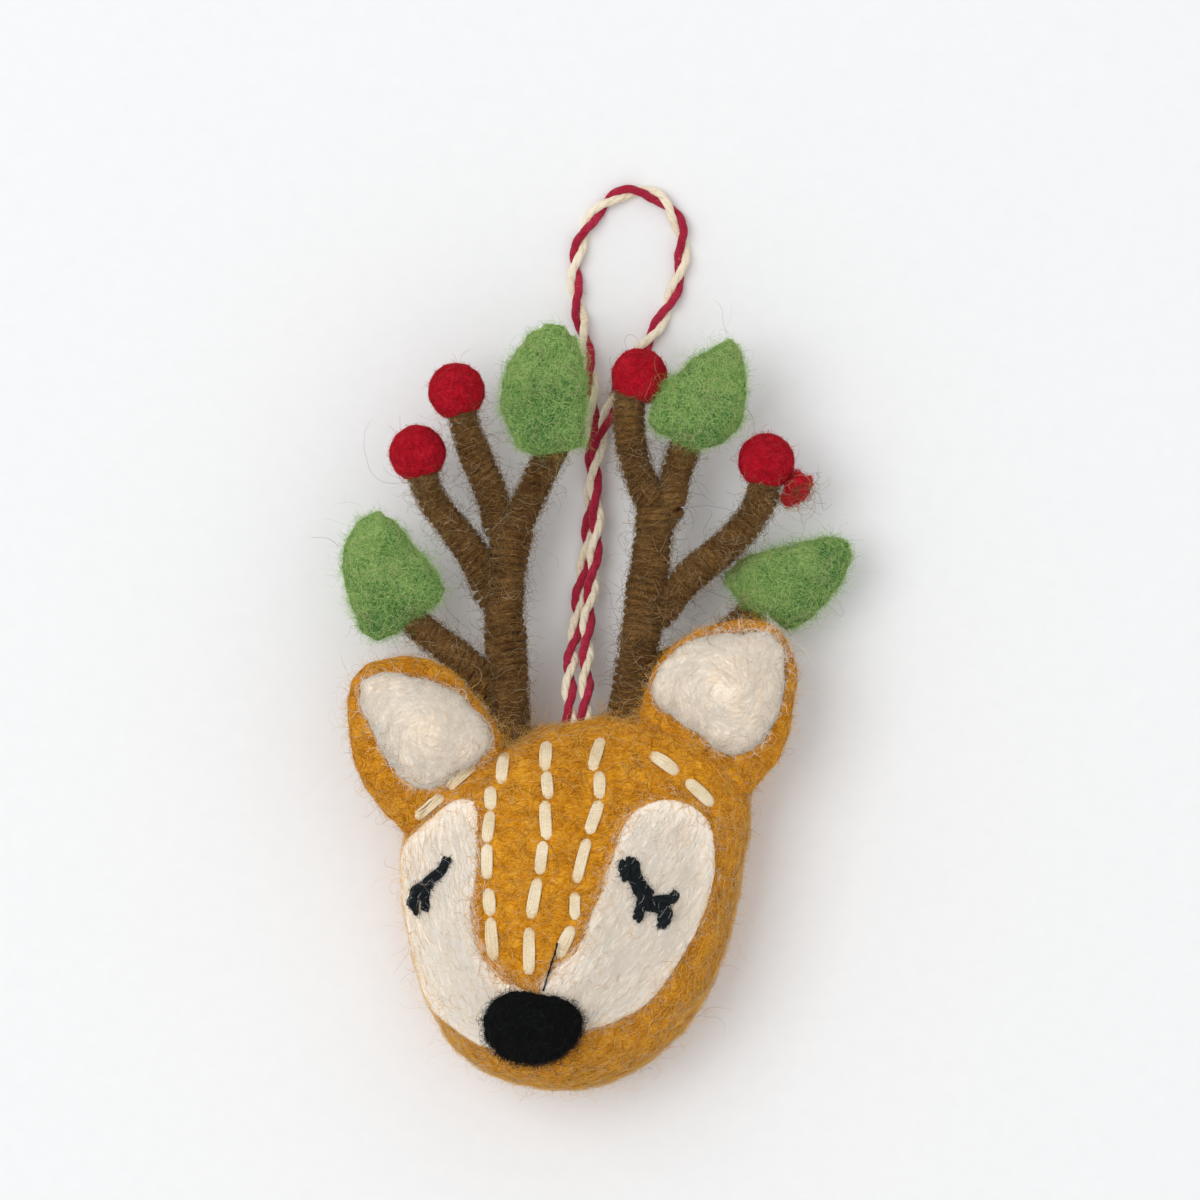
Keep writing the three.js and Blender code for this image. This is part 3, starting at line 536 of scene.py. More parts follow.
def seeds_on(piece, count, keep=None):
    """Random points on the piece, as many to each square millimetre everywhere."""
    mesh = piece.data
    mesh.calc_loop_triangles()
    corners = np.empty(len(mesh.loop_triangles) * 3, np.int32)
    mesh.loop_triangles.foreach_get("vertices", corners)
    points = mesh_points(mesh)[corners.reshape(-1, 3)]
    normals = mesh_normals(mesh)[corners.reshape(-1, 3)]
    middles = points.mean(axis=1)
    cross = np.cross(points[:, 1] - points[:, 0], points[:, 2] - points[:, 0])
    areas = np.linalg.norm(cross, axis=1)
    if keep is not None:
        areas = areas * keep(middles, unit(cross))
    chosen = chance.choice(len(areas), count, p=areas / areas.sum())
    weights = chance.dirichlet((1, 1, 1), count)[:, :, None]
    return (points[chosen] * weights).sum(axis=1), unit((normals[chosen] * weights).sum(axis=1))


def any_way(starts, outs):
    return chance.normal(size=starts.shape)


def nearest(tree, points):
    found = [tree.find_nearest(point)[:2] for point in points.tolist()]
    return np.array([place for place, _ in found]), np.array([normal for _, normal in found])


def lying(seeds, tree, way, length, steps, lift, bend=0.5, sway=0.35):
    """Strands that follow the surface, sized in mm. way gives each one's direction where it starts."""
    points, normals = seeds
    count = len(points)
    stride = length * MM * chance.uniform(*LENGTH_SPREAD, count)[:, None] / (steps - 1)
    heads = way(points, normals)
    curls = chance.normal(0, bend, count)
    lifts = lift * MM * chance.uniform(*LIFT_SPREAD, count)
    lines = []
    for k in range(steps):
        rise = lifts * math.sin(math.pi * k / (steps - 1)) - LYING_SINK
        lines.append(points + normals * rise[:, None])
        heads = unit(heads - normals * np.sum(heads * normals, axis=1, keepdims=True))
        swing = curls + chance.normal(0, sway, count)
        heads = unit(heads + np.cross(normals, heads) * swing[:, None])
        points, normals = nearest(tree, points + heads * stride)
    return above_floor(np.stack(lines, axis=1), HAIR_ROOT)


def flying(seeds, length, steps, stand, bend):
    """Strands that leave the surface and curl in the air, with a mean length in mm."""
    starts, outs = seeds
    count = len(starts)
    mean = length * MM
    lengths = mean * chance.gamma(AIR_LENGTH_SHAPE, 1 / AIR_LENGTH_SHAPE, count)
    lengths = np.minimum(lengths, AIR_LONGEST * mean)
    heads = unit(outs * stand + chance.normal(0, AIR_SCATTER, (count, 3)))
    turn_axis = unit(chance.normal(size=(count, 3)))
    curls = bend * chance.uniform(*CURL_SPREAD, count)
    lines = [starts - outs * HAIR_ROOT]
    for _ in range(steps - 1):
        lines.append(lines[-1] + heads * (lengths / (steps - 1))[:, None])
        side = np.cross(turn_axis, heads)
        scatter = chance.normal(0, AIR_STEP_SCATTER, (count, 3))
        heads = unit(heads + side * curls[:, None] + scatter)
    return above_floor(np.stack(lines, axis=1), HAIR_ROOT)


def held(strands, tree, reach):
    """The strands whose ends lie within reach, in mm, of what they grow on."""
    ends = strands[:, -1]
    return strands[np.linalg.norm(ends - nearest(tree, ends)[0], axis=1) < reach * MM]


def hair_piece(name, hairs, radius, shares, batches):
    """One piece of three-sided strands with a radius in mm, each strand in one of the hairs' shades."""
    shares = np.array(shares, float)
    shaded = []
    for lines in batches:
        taper = np.sin(np.linspace(TIP_ANGLE, math.pi - TIP_ANGLE, lines.shape[1])) ** 0.5
        thick = radius * MM * chance.uniform(*THICK_SPREAD, len(lines))
        shades = chance.choice(len(hairs), len(lines), p=shares / shares.sum())
        shaded.append((lines, thick[:, None] * taper, shades))
    piece = strand_piece(name, shaded, 3, hairs)
    stands_for(piece)
    print(name, "strands:", sum(len(b) for b in batches), "faces:", len(piece.data.polygons))


# %% [markdown]
# ## The head
#
# The head is one wad with a mustard coat, and two cream patches felted into it. A remesh of the thin
# coat would leave the pockets that the patches sit in as steep steps, so the skin is found another
# way: rays run from all round the head towards its heart, and each point of a fine ball goes where
# its ray first meets wool. Bores that thread and twine run through are filled from their neighbours.

# %% A skin from rays
SIDES = ("left", "right")
HEAD_HEART = np.array((0.0, 1.0, 9.0)) * MM
SKIN_LEVEL = 7
RAY_START = 80 * MM

mustard_felt = felt(
    "needle-felted mustard wool", ("#8A5206", "#C17B0A", "#DC981A", "#F2BF54"), patch_share=0.38,
    sheen=0.3, tint="#F6D088", patch_size=3 * MM,
)
cream_felt = felt("combed cream wool", ("#F2E0CA", "#FAECDA", "#FFF4E6", "#FFFAF3"), bump=0.05)
lining_felt = felt(
    "carded cream wool", ("#F1DCC0", "#FBEAD3", "#FFF4E3", "#FFFCF3"), bump=0.06, sheen=0.0
)


def ball(level):
    form = bmesh.new()
    bmesh.ops.create_icosphere(form, subdivisions=level, radius=1.0)
    form.verts.ensure_lookup_table()
    points = np.array([v.co[:] for v in form.verts])
    faces = np.array([[v.index for v in f.verts] for f in form.faces])
    links = np.array([[e.verts[0].index, e.verts[1].index] for e in form.edges])
    form.free()
    return unit(points), faces, links


def ray_reach(*names):
    """How far from the heart each ray, shot inwards, first meets one of these solids, or zero."""
    tree = tree_of(*[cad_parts[name] for name in names])
    reach = np.zeros(len(directions))
    for i, way in enumerate(directions):
        hit = tree.ray_cast(Vector(HEAD_HEART + way * RAY_START), Vector(-way), RAY_START)
        if hit[0] is not None:
            reach[i] = RAY_START - hit[3]
    return reach


def settled(values, rounds):
    """Each value moves half way to the mean of its neighbours, for so many rounds."""
    count = np.bincount(ball_links.ravel(), minlength=len(values))
    for _ in range(rounds):
        total = np.bincount(ball_links[:, 0], values[ball_links[:, 1]], len(values))
        total += np.bincount(ball_links[:, 1], values[ball_links[:, 0]], len(values))
        values = values + 0.5 * (total / count - values)
    return values


directions, ball_faces, ball_links = ball(SKIN_LEVEL)
whole_reach = ray_reach("head_cover", "left_face_patch", "right_face_patch")
print("rays:", len(directions), "farthest wool in mm:", round(whole_reach.max() / MM, 1))

# %% Where the stitches lie, in shares of the head's width and length
HEAD_WIDTH = 61.4 * MM
HEAD_LENGTH = 65.8 * MM
STITCH_SHARES = {
    "forehead_thread_left": [
        (-0.2, 0.4), (-0.21, 0.33), (-0.24, 0.31), (-0.24, 0.26), (-0.24, 0.245), (-0.25, 0.175),
        (-0.25, 0.16), (-0.25, 0.075), (-0.245, 0.04), (-0.24, -0.02), (-0.24, -0.035),
        (-0.23, -0.14),
    ],
    "forehead_thread_middle": [
        (-0.08, 0.43), (-0.085, 0.365), (-0.08, 0.35), (-0.075, 0.29), (-0.085, 0.275),
        (-0.08, 0.18), (-0.09, 0.165), (-0.1, 0.09), (-0.105, 0.07), (-0.125, -0.03),
        (-0.13, -0.06), (-0.13, -0.18),
    ],
    "forehead_thread_right": [
        (0.075, 0.44), (0.05, 0.365), (0.07, 0.35), (0.07, 0.29), (0.07, 0.275), (0.04, 0.195),
        (0.035, 0.175), (0.005, 0.065), (0, 0.03), (0, -0.03), (-0.01, -0.06), (-0.045, -0.13),
    ],
    "brow_thread_left": [(-0.29, 0.37), (-0.36, 0.315), (-0.38, 0.29), (-0.45, 0.235)],
    "brow_thread_right": [(0.22, 0.4), (0.29, 0.355), (0.32, 0.33), (0.39, 0.27)],
}  # fmt: skip
DENT_WIDTH = 1.2 * MM
DENT_DEPTH = 0.3 * MM
PINCH_WIDTH = 0.8 * MM
PINCH_DEPTH = 0.5 * MM


def dents(points):
    """How deep the felt is drawn in along each stitch and at its two ends."""
    depth = np.zeros(len(points))
    for ends in STITCH_SHARES.values():
        places = np.array(ends) * (HEAD_WIDTH, HEAD_LENGTH)
        for start, end in zip(places[::2], places[1::2]):
            share = ((points[:, :2] - start) @ (end - start)) / np.dot(end - start, end - start)
            near = start + np.clip(share, 0, 1)[:, None] * (end - start)
            away = np.linalg.norm(points[:, :2] - near, axis=1)
            depth = np.maximum(depth, DENT_DEPTH * np.exp(-((away / DENT_WIDTH) ** 2)))
            for place in (start, end):
                away = np.linalg.norm(points[:, :2] - place, axis=1)
                depth = np.maximum(depth, PINCH_DEPTH * np.exp(-((away / PINCH_WIDTH) ** 2)))
    return np.where(points[:, 2] > HEAD_HEART[2], depth, 0)


# %% Bores filled, then the skin with its lumps
BORE_DEPTH = 0.8 * MM
BORE_ROUNDS = 60
SKIN_ROUNDS = 10
PATCH_SKIN = 0.3 * MM
PATCH_ROUNDS = 20
BORDER_ROUNDS = 45
PATCH_SINK = 0.85 * MM
COAT_SINK = 0.5 * MM
SMOOTHER_SHARE = 0.7
slow_reach = settled(whole_reach, BORE_ROUNDS)
skin_reach = np.where(whole_reach < slow_reach - BORE_DEPTH, slow_reach, whole_reach)
skin_reach = settled(skin_reach, SKIN_ROUNDS)
patch_masks = {}
border_share = np.zeros(len(directions))
for side in SIDES:
    patch_reach = ray_reach(f"{side}_face_patch")
    seen = ((patch_reach > 0) & (patch_reach > whole_reach - PATCH_SKIN)).astype(float)
    patch_masks[side] = settled(seen, PATCH_ROUNDS)
    border_share = np.maximum(border_share, settled(seen, BORDER_ROUNDS))
under_patch = np.maximum(patch_masks["left"], patch_masks["right"])
skin_reach = skin_reach - PATCH_SINK * under_patch
skin_points = HEAD_HEART + directions * skin_reach[:, None]
rough = 1 - SMOOTHER_SHARE * under_patch
skin_reach += lumps(skin_points, size=5 * MM, depth=0.3 * MM, octaves=3) * rough
skin_reach -= dents(skin_points)
coat_points = HEAD_HEART + directions * (skin_reach - COAT_SINK * under_patch)[:, None]
head = mesh_piece("head_wool", above_floor(coat_points), [], ball_faces, [mustard_felt])
stands_for(head, "head_cover")
print("head faces:", len(head.data.polygons))

# %% The filling, and the cream patches as thin pads that sink into the coat at their edges
core_felt = felt("undyed core wool", ("#BDB09C", "#D2C7B6", "#DED6C8", "#E6DFD2"))
felted("head_filling", "head_core", core_felt, voxel=1.0, rounds=3, grow=-0.2)

PATCH_EDGE_SHARE = 0.42
PATCH_RISE = 0.35 * MM
PATCH_ROOT = 1.0 * MM
patches = {}
for side, mask in patch_masks.items():
    edge = np.clip(mask + lumps(directions, size=0.045, depth=0.26, octaves=4), 0, 1)
    inside = (edge[ball_faces] > PATCH_EDGE_SHARE).all(axis=1)
    used = np.unique(ball_faces[inside])
    renumbered = np.full(len(directions), -1)
    renumbered[used] = np.arange(len(used))
    faces = renumbered[ball_faces[inside]]
    rise = (np.clip((mask - PATCH_EDGE_SHARE) / (1 - PATCH_EDGE_SHARE), 0, 1) - 1) * PATCH_RISE
    top = HEAD_HEART + directions[used] * (skin_reach + rise)[used][:, None]
    root = HEAD_HEART + directions[used] * (skin_reach - PATCH_ROOT)[used][:, None]
    edges = np.concatenate([faces[:, [0, 1]], faces[:, [1, 2]], faces[:, [2, 0]]])
    pairs, times = np.unique(np.sort(edges, axis=1), axis=0, return_counts=True)
    rim = {tuple(pair) for pair in pairs[times == 1]}
    walls = [
        (b, a, a + len(used), b + len(used)) for a, b in edges if (min(a, b), max(a, b)) in rim
    ]
    both = np.concatenate([faces, faces[:, ::-1] + len(used)])
    pad = mesh_piece(f"{side}_cheek_wool", np.vstack([top, root]), walls, both, [cream_felt])
    stands_for(pad, f"{side}_face_patch")
    patches[side] = pad
    print(pad.name, "faces:", len(pad.data.polygons))

# %% [markdown]
# ## The ears
#
# Each ear is a thick lobe of mustard felt with a hollow, and a domed lining of cream wool felted
# into the hollow. The two are grown until they press into each other, as the needle leaves them.

# %% Ears and their linings
LINING_GROWTH = {"left": 0.45, "right": 0.2}
ears = {}
linings = {}
for side in SIDES:
    ears[side] = felted(
        f"{side}_ear_wool", f"{side}_ear", mustard_felt,
        voxel=0.42, rounds=8, grow=0.1,
    )
    linings[side] = felted(
        f"{side}_ear_lining_wool", f"{side}_ear_lining", lining_felt,
        voxel=0.42, rounds=14, grow=LINING_GROWTH[side], lump_size=5, lump_depth=0.5,
    )
print("ears and linings:", [len(p.data.polygons) for p in (*ears.values(), *linings.values())])

# %% The roots of the ears, drawn out over the head so that no crease is left
FLARE = 1.3 * MM
HEAD_FLARE_SHARE = 0.6
FLARE_REACH = 1.6 * MM


def flared(piece, tree, most):
    """Pushes the piece's skin out where it comes close to the other, as felt is pulled across."""
    points = mesh_points(piece.data)
    away = np.array([tree.find_nearest(Vector(p))[3] for p in points])
    push = most * np.exp(-((away / FLARE_REACH) ** 1.5))
    set_points(piece.data, above_floor(points + mesh_normals(piece.data) * push[:, None]))


bare_head_tree = tree_of(head)
bare_ears_tree = tree_of(*ears.values())
for ear in ears.values():
    flared(ear, bare_head_tree, FLARE)
flared(head, bare_ears_tree, HEAD_FLARE_SHARE * FLARE)

# %% [markdown]
# ## The nose
#
# The nose is a flat oval of black wool, felted harder than the rest, so its nap is finer.

# %% The nose
black_felt = felt(
    "needle-felted black wool", ("#020202", "#070808", "#0C0D0E", "#1A1C1E"), sheen=0.0
)
NOSE_SHIFT = np.array((0, 0.8, 0.3)) * MM
nose = felted(
    "nose_wool", "nose", black_felt,
    voxel=0.4, rounds=8, grow=0.2, lump_size=1.8, lump_depth=0.32,
)
set_points(nose.data, mesh_points(nose.data) + NOSE_SHIFT)
print("nose faces:", len(nose.data.polygons))

# %% [markdown]
# ## Berries, the loose tuft and the leaves
#
# The berries are felt balls of 10 mm, rolled wet and hard. The leaves are cut from thick, loose
# green felt, so their edges are round and hairy.

# %% Berries, tuft and leaves
red_felt = felt(
    "rolled red felt", ("#80041A", "#A80A20", "#BC1428", "#CE3444"), bump=0.2, sheen=0.05,
    width=0.16 * MM, tint="#E8485A", patch_size=2 * MM,
)
green_felt = felt(
    "loose green felt", ("#24602C", "#4E8E42", "#84B456", "#BADC86"), patch_share=0.55,
    tint="#C8E8A8", patch_size=5 * MM,
)
BERRIES = ("left_berry_outer", "left_berry_upper", "right_berry_inner", "right_berry_upper")
LEAVES = ("left_leaf_inner", "left_leaf_lower", "right_leaf_outer", "right_leaf_lower")
berries = {}
for name in BERRIES:
    berries[name] = felted(
        f"{name}_felt", name, red_felt,
        voxel=0.4, rounds=12, grow=0.12, lump_size=2.2, lump_depth=0.18,
    )
leaves = {}
for name in LEAVES:
    leaves[name] = felted(
        f"{name}_felt", name, green_felt,
        voxel=0.42, rounds=6, grow=-0.1, lump_size=2.6, lump_depth=0.32,
    )
loose_red = felt(
    "loose red wool", ("#A00A1C", "#C8122A", "#DC2038", "#EA4050"), bump=0.3, patch_size=2 * MM
)
tuft = felted(
    "red_tuft_wool", "red_tuft", loose_red,
    voxel=0.3, rounds=3, grow=-0.35, lump_size=1.8, lump_depth=1.6,
)
print("berries:", [len(berry.data.polygons) for berry in berries.values()])
print("leaves:", [len(leaf.data.polygons) for leaf in leaves.values()])

# %% [markdown]
# ## The antlers
#
# Each antler is bent wire, wound from end to end with brown roving, so light catches one ridge for
# each turn and the outline is ribbed and hairy. A bump map would rib the surface but leave the
# outline smooth. Here a centre line is read from each measured branch, and the roving runs round it
# as one long tube, one turn every 1.25 mm, over a dark sleeve that shows only between the turns.

# %% Centre lines of the branches
brown_felt = felt(
    "brown wool roving", ("#2E1D0A", "#553919", "#7A582E", "#AC8854"), width=0.14 * MM,
    tint="#C8A070",
)
PARTS = ("antler_stem", "tine_inner", "tine_outer", "tine_upper", "tine_lower")
BRANCHES = [f"{side}_{part}" for side in SIDES for part in PARTS]
UNDER_LEAVES = ("left_tine_inner", "left_tine_lower", "right_tine_outer", "right_tine_lower")
SLICE = 0.8 * MM
SPINE_STEP = 0.1 * MM
FULL_SLICE_SHARE = 0.75
OUTER_PERCENTILE = 80
SPINE_KNOTS = 12
ROOT_STEPS = 30
ROOT_LENGTH = 7 * MM
ROOT_SHARE = 0.5
STEM_DROP = 3.0 * MM
STEM_TIP = 0.6 * MM
TINE_TIP = 0.8 * MM
TIP_LENGTH = 2.4 * MM
TIP_SHARE = 0.25


def spine(points, carrier, meet, tip_reach):
    """The centre line of a branch and its radius along it, from its root in what carries it."""
    middle = points.mean(axis=0)
    axis = np.linalg.svd(points - middle, full_matrices=False)[2][0]
    if np.dot(middle - carrier[meet], axis) < 0:
        axis = -axis
    place = (points - middle) @ axis
    slots = np.floor((place - place.min()) / SLICE).astype(int)
    counts = np.bincount(slots)
    full = [k for k in range(len(counts)) if counts[k] > FULL_SLICE_SHARE * np.median(counts)]
    centres = np.array([points[slots == k].mean(axis=0) for k in full])
    radii = []
    for centre, k in zip(centres, full):
        away = np.linalg.norm(np.cross(points[slots == k] - centre, axis), axis=1)
        radii.append(np.percentile(away, OUTER_PERCENTILE))
    places = (centres - middle) @ axis
    inner = np.linspace(places[0], places[-1], SPINE_KNOTS)
    line = np.stack([np.polyval(np.polyfit(places, centres[:, k], 3), inner) for k in range(3)], axis=1)
    last = line[-1] + unit(line[-1] - line[-2]) * (place.max() - places[-1] + tip_reach)
    near = int(np.argmin(np.linalg.norm(carrier - line[0], axis=1)))
    root = carrier[max(near - ROOT_STEPS, 0)]
    line, length = smooth_line(np.vstack([root, line, last]), SPINE_STEP)
    return line, np.polyval(np.polyfit(places, radii, 1), (line - middle) @ axis), length


sleeves = {}
spines = {}
for name in BRANCHES:
    sleeve = felted(
        f"{name}_wool", name, brown_felt,
        voxel=0.45, rounds=4, grow=-0.1, lump_size=2, lump_depth=0.15,
    )
    points = mesh_points(sleeve.data)
    if name.endswith("stem"):
        low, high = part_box(name)
        root = np.array(((low.x + high.x) / 2, low.y - STEM_DROP, (low.z + high.z) / 2))
        line, radii, length = spine(points, root[None], 0, STEM_TIP)
    else:
        stem_line = spines[name.split("_")[0] + "_antler_stem"][0]
        gaps = np.linalg.norm(stem_line[:, None] - points[::9][None], axis=2).min(axis=1)
        line, radii, length = spine(points, stem_line, int(np.argmin(gaps)), TINE_TIP)
        risen = np.clip(np.arange(len(line)) * SPINE_STEP / ROOT_LENGTH, 0, 1)
        radii = radii * (ROOT_SHARE + (1 - ROOT_SHARE) * risen**2 * (3 - 2 * risen))
    if name in UNDER_LEAVES:
        left = np.clip(np.arange(len(line))[::-1] * SPINE_STEP / TIP_LENGTH, 0, 1)
        radii = radii * (TIP_SHARE + (1 - TIP_SHARE) * np.sqrt(1 - (1 - left) ** 2))
    near = np.array([int(np.argmin(np.linalg.norm(line - p, axis=1))) for p in points])
    away = points - line[near]
    shrink = np.minimum(1, radii[near] / np.maximum(np.linalg.norm(away, axis=1), 1e-9))
    set_points(sleeve.data, line[near] + away * shrink[:, None])
    sleeves[name] = sleeve
    spines[name] = (line, radii, length, *carried_frame(line))
    print(name, "long:", round(length / MM, 1), "thick:", round(2 * radii.mean() / MM, 1))

# %% The roving, turn by turn, with turns that lean, crowd and swell a little
ROVING_PITCH = 1.25 * MM
ROVING_RADIUS = 0.68 * MM
ROVING_SINK = 0.25 * MM
STEPS_A_TURN = 16
LEAN = 0.5 * ROVING_PITCH
LEAN_START = 1.3
LEAN_SIZE = 6 * MM
CROWD = 0.25 * ROVING_PITCH
CROWD_SIZE = 1.9 * MM
SWELLS = ((0.05, 2.7 * MM), (0.03, 1.1 * MM))
UNEVEN_SHARE = 0.3
UNEVEN_SIZE = 2.2 * MM


def wound(name, start_turn):
    """One tube's centre line that winds along a branch."""
    line, radii, length, across, up = spines[name]
    gone = np.linspace(0, 1, round(length / ROVING_PITCH * STEPS_A_TURN))
    angle = start_turn + gone * length / ROVING_PITCH * math.tau
    lean = LEAN * np.sin(angle + LEAN_START) * np.sin(gone * length / LEAN_SIZE)
    crowd = CROWD * np.sin(gone * length / CROWD_SIZE)
    place = np.clip(gone + (lean + crowd) / length, 0, 1)
    known = np.linspace(0, 1, len(line))
    swell = 1
    for k, (depth, size) in enumerate(SWELLS):
        swell = swell + depth * np.sin(gone * length / size + (k + 1) * start_turn)
    across = unit(between(place, known, across))
    up = unit(between(place, known, up))
    out = np.interp(place, known, radii) * swell - ROVING_SINK
    centres = between(place, known, line) + turned_out(across, up, angle) * out[:, None]
    return above_floor(centres, ROVING_RADIUS)


for index, name in enumerate(BRANCHES):
    winding = wound(name, index)
    thick = ROVING_RADIUS * (1 + UNEVEN_SHARE * lumps(winding, UNEVEN_SIZE, 1.0))
    roving = strand_piece(f"{name}_roving", [(winding[None], thick, 0)], 6, [brown_felt])
    stands_for(roving)
print("roving turns in all:", round(sum(s[2] for s in spines.values()) / ROVING_PITCH))

# %% [markdown]
# ## Stitches
#
# Five rows of running stitch in cream floss cross the forehead and the brows. Floss is a flat bundle
# of loose strands: it fans out in the middle of a stitch and pinches where it dives into the felt.
# So each stitch is seven thin tubes that start together, part and meet again.

# %% Stitches on the skin
THREAD_STEP = 0.2 * MM
FLOSS_WIDTH = 2.4 * MM
FLOSS_PINCH = 0.74
FLOSS_STRANDS = 7
FLOSS_STEPS = 14
FLOSS_RADIUS = 0.25 * MM
FLOSS_WANDER = 0.05 * MM
FLOSS_RISE = 0.65 * MM
FLOSS_OVERRUN = 0.7 * MM
FLOSS_DIVE = 0.9 * MM
FLOSS_CAMBER = np.array((0, 0, 0.9 * MM))
UP = np.array((0, 0, 1))
head_tree = tree_of(head)
face_tree = tree_of(head, *patches.values())
coat_tree = tree_of(head, *ears.values(), *patches.values())
floss = felt(
    "stranded cotton floss", ("#CDB48A", "#E8D5B2", "#F4E6CA", "#FBF2E2"), width=0.12 * MM
)


def thread_on_skin(tree, places, lift, steps):
    """A line over the skin through places in x and y, lifted by lift at each share of its length."""
    line, _ = smooth_line(np.column_stack([places, np.zeros(len(places))]), THREAD_STEP)
    picked = np.linspace(0, len(line) - 1, steps).round().astype(int)
    points = []
    for k, (x, y, _) in enumerate(line[picked]):
        point, out, _, _ = tree.ray_cast(Vector((x, y, RAY_START)), Vector(-UP), RAY_START)
        points.append(np.array(point) + unit(np.array(out) + UP) * lift(k / (steps - 1)))
    return np.array(points)


def stitch_lift(share):
    return (FLOSS_RISE + FLOSS_DIVE) * math.sin(math.pi * share) ** 0.4 - FLOSS_DIVE


for name, ends in STITCH_SHARES.items():
    places = np.array(ends) * (HEAD_WIDTH, HEAD_LENGTH)
    strands = []
    for start, end in zip(places[::2], places[1::2]):
        ahead = (end - start) / np.linalg.norm(end - start)
        aside = np.array((ahead[1], -ahead[0]))
        for share in np.arange(FLOSS_STRANDS) / (FLOSS_STRANDS - 1) - 0.5:
            shift = aside * ((FLOSS_WIDTH - 2 * FLOSS_RADIUS) * share)
            wander = aside * chance.normal(0, FLOSS_WANDER)
            more = ahead * FLOSS_OVERRUN * (1 - 2 * share**2)
            middle = (start + end) / 2 + shift + wander
            route = [start - more + FLOSS_PINCH * shift, middle, end + more + FLOSS_PINCH * shift]
            line = thread_on_skin(coat_tree, route, stitch_lift, FLOSS_STEPS)
            strands.append(line - FLOSS_CAMBER * share**2)
    row = strand_piece(f"{name}_floss", [(np.array(strands), FLOSS_RADIUS, 0)], 6, [floss])
    stands_for(row, name)
print("stitches:", sum(len(ends) // 2 for ends in STITCH_SHARES.values()))

# %% [markdown]
# ## The closed eyes and the thread on the nose
#
# Each eye is sewn in black thread: a lid line and its lashes, asleep. The thread is three strands
# laid together, because a single smooth tube would look like wire.

# %% Eyes and nose thread
EYE_STRANDS = 3
EYE_STRAND_RADIUS = 0.5 * MM
EYE_STRAND_OFFSET = 1.05 * EYE_STRAND_RADIUS
EYE_TURN = 5.5
EYE_STEPS = 22
EYE_SHARES = {
    "left_eye_thread": [
        [(-0.36, 0.125), (-0.375, 0.1), (-0.4, 0.075), (-0.43, 0.055), (-0.455, 0.035),
         (-0.468, 0.005)],
        [(-0.41, 0.065), (-0.424, 0.03), (-0.423, -0.008)],
        [(-0.44, 0.045), (-0.455, 0.015), (-0.45, -0.015)],
    ],
    "right_eye_thread": [
        [(0.153, 0.125), (0.158, 0.09), (0.182, 0.045), (0.2, 0.018), (0.24, 0.015),
         (0.275, 0.018), (0.286, 0.035)],
        [(0.137, 0.112), (0.142, 0.09), (0.146, 0.073)],
        [(0.168, 0.118), (0.172, 0.09), (0.18, 0.068)],
        [(0.166, 0.072), (0.186, 0.03), (0.212, -0.002)],
        [(0.184, 0.066), (0.2, 0.042), (0.214, 0.03)],
        [(0.205, 0.002), (0.235, -0.006), (0.262, -0.004)],
        [(0.192, 0.015), (0.184, -0.01), (0.178, -0.034)],
        [(0.246, 0.01), (0.25, -0.022), (0.246, -0.054)],
        [(0.256, 0.008), (0.262, -0.02), (0.256, -0.042)],
    ],
}  # fmt: skip
NOSE_THREAD_SHARES = [(-0.09, -0.225), (-0.07, -0.165), (-0.052, -0.1)]
NOSE_STRANDS = 2
NOSE_STRAND_RADIUS = 0.12 * MM
NOSE_STRAND_OFFSET = 0.09 * MM
NOSE_TURN = 16
NOSE_STEPS = 20
black_thread = felt(
    "black sewing thread", ("#0A0E10", "#161B1E", "#20272A", "#38424A"), sheen=0.03,
    width=0.12 * MM,
)


def eye_lift(share):
    return (0.7 * math.sin(math.pi * share) ** 0.5 - 0.3) * MM


def nose_lift(share):
    return (0.2 + 1.1 * share) * MM


def laid(line, count, offset, turn):
    """Strands laid together round a line, twisted by the angle turn from its start to its end."""
    twist = np.linspace(0, turn, len(line))
    return [coiled_about(line, offset, k * math.tau / count + twist) for k in range(count)]


eyes = {}
for name, runs in EYE_SHARES.items():
    strands = []
    for run in runs:
        places = np.array(run) * (HEAD_WIDTH, HEAD_LENGTH)
        line = thread_on_skin(face_tree, places, eye_lift, EYE_STEPS)
        strands += laid(line, EYE_STRANDS, EYE_STRAND_OFFSET, EYE_TURN)
    batch = (np.array(strands), EYE_STRAND_RADIUS, 0)
    eyes[name] = strand_piece(f"{name}_sewn", [batch], 6, [black_thread])
    stands_for(eyes[name], name)

places = np.array(NOSE_THREAD_SHARES) * (HEAD_WIDTH, HEAD_LENGTH)
nose_line = thread_on_skin(tree_of(head, *patches.values(), nose), places, nose_lift, NOSE_STEPS)
batch = (
    np.array(laid(nose_line, NOSE_STRANDS, NOSE_STRAND_OFFSET, NOSE_TURN)), NOSE_STRAND_RADIUS, 0
)
nose_thread = strand_piece("nose_thread_end", [batch], 6, [black_thread])
stands_for(nose_thread, "nose_thread")
print("runs of black thread:", sum(len(runs) for runs in EYE_SHARES.values()) + 1)

# %% [markdown]
# ## Hairs
#
# Now the loose hairs go on, piece by piece. The coat's lie every way; those of the patches are
# combed towards the nose; those of the ear linings run in rings, as the wool was laid in; those of
# the antlers run with the roving. Each wool has two to four shades, which keep it from looking
# painted. A hair piece gives its strands' radius in mm and the shares of its shades, and each kind
# of strand gives the number of its seeds and its length in mm first.

# %% Shades of the loose hairs
def hair_shades(codes):
    return [plain_wool(f"{shade} wool hair", code) for shade, code in codes.items()]


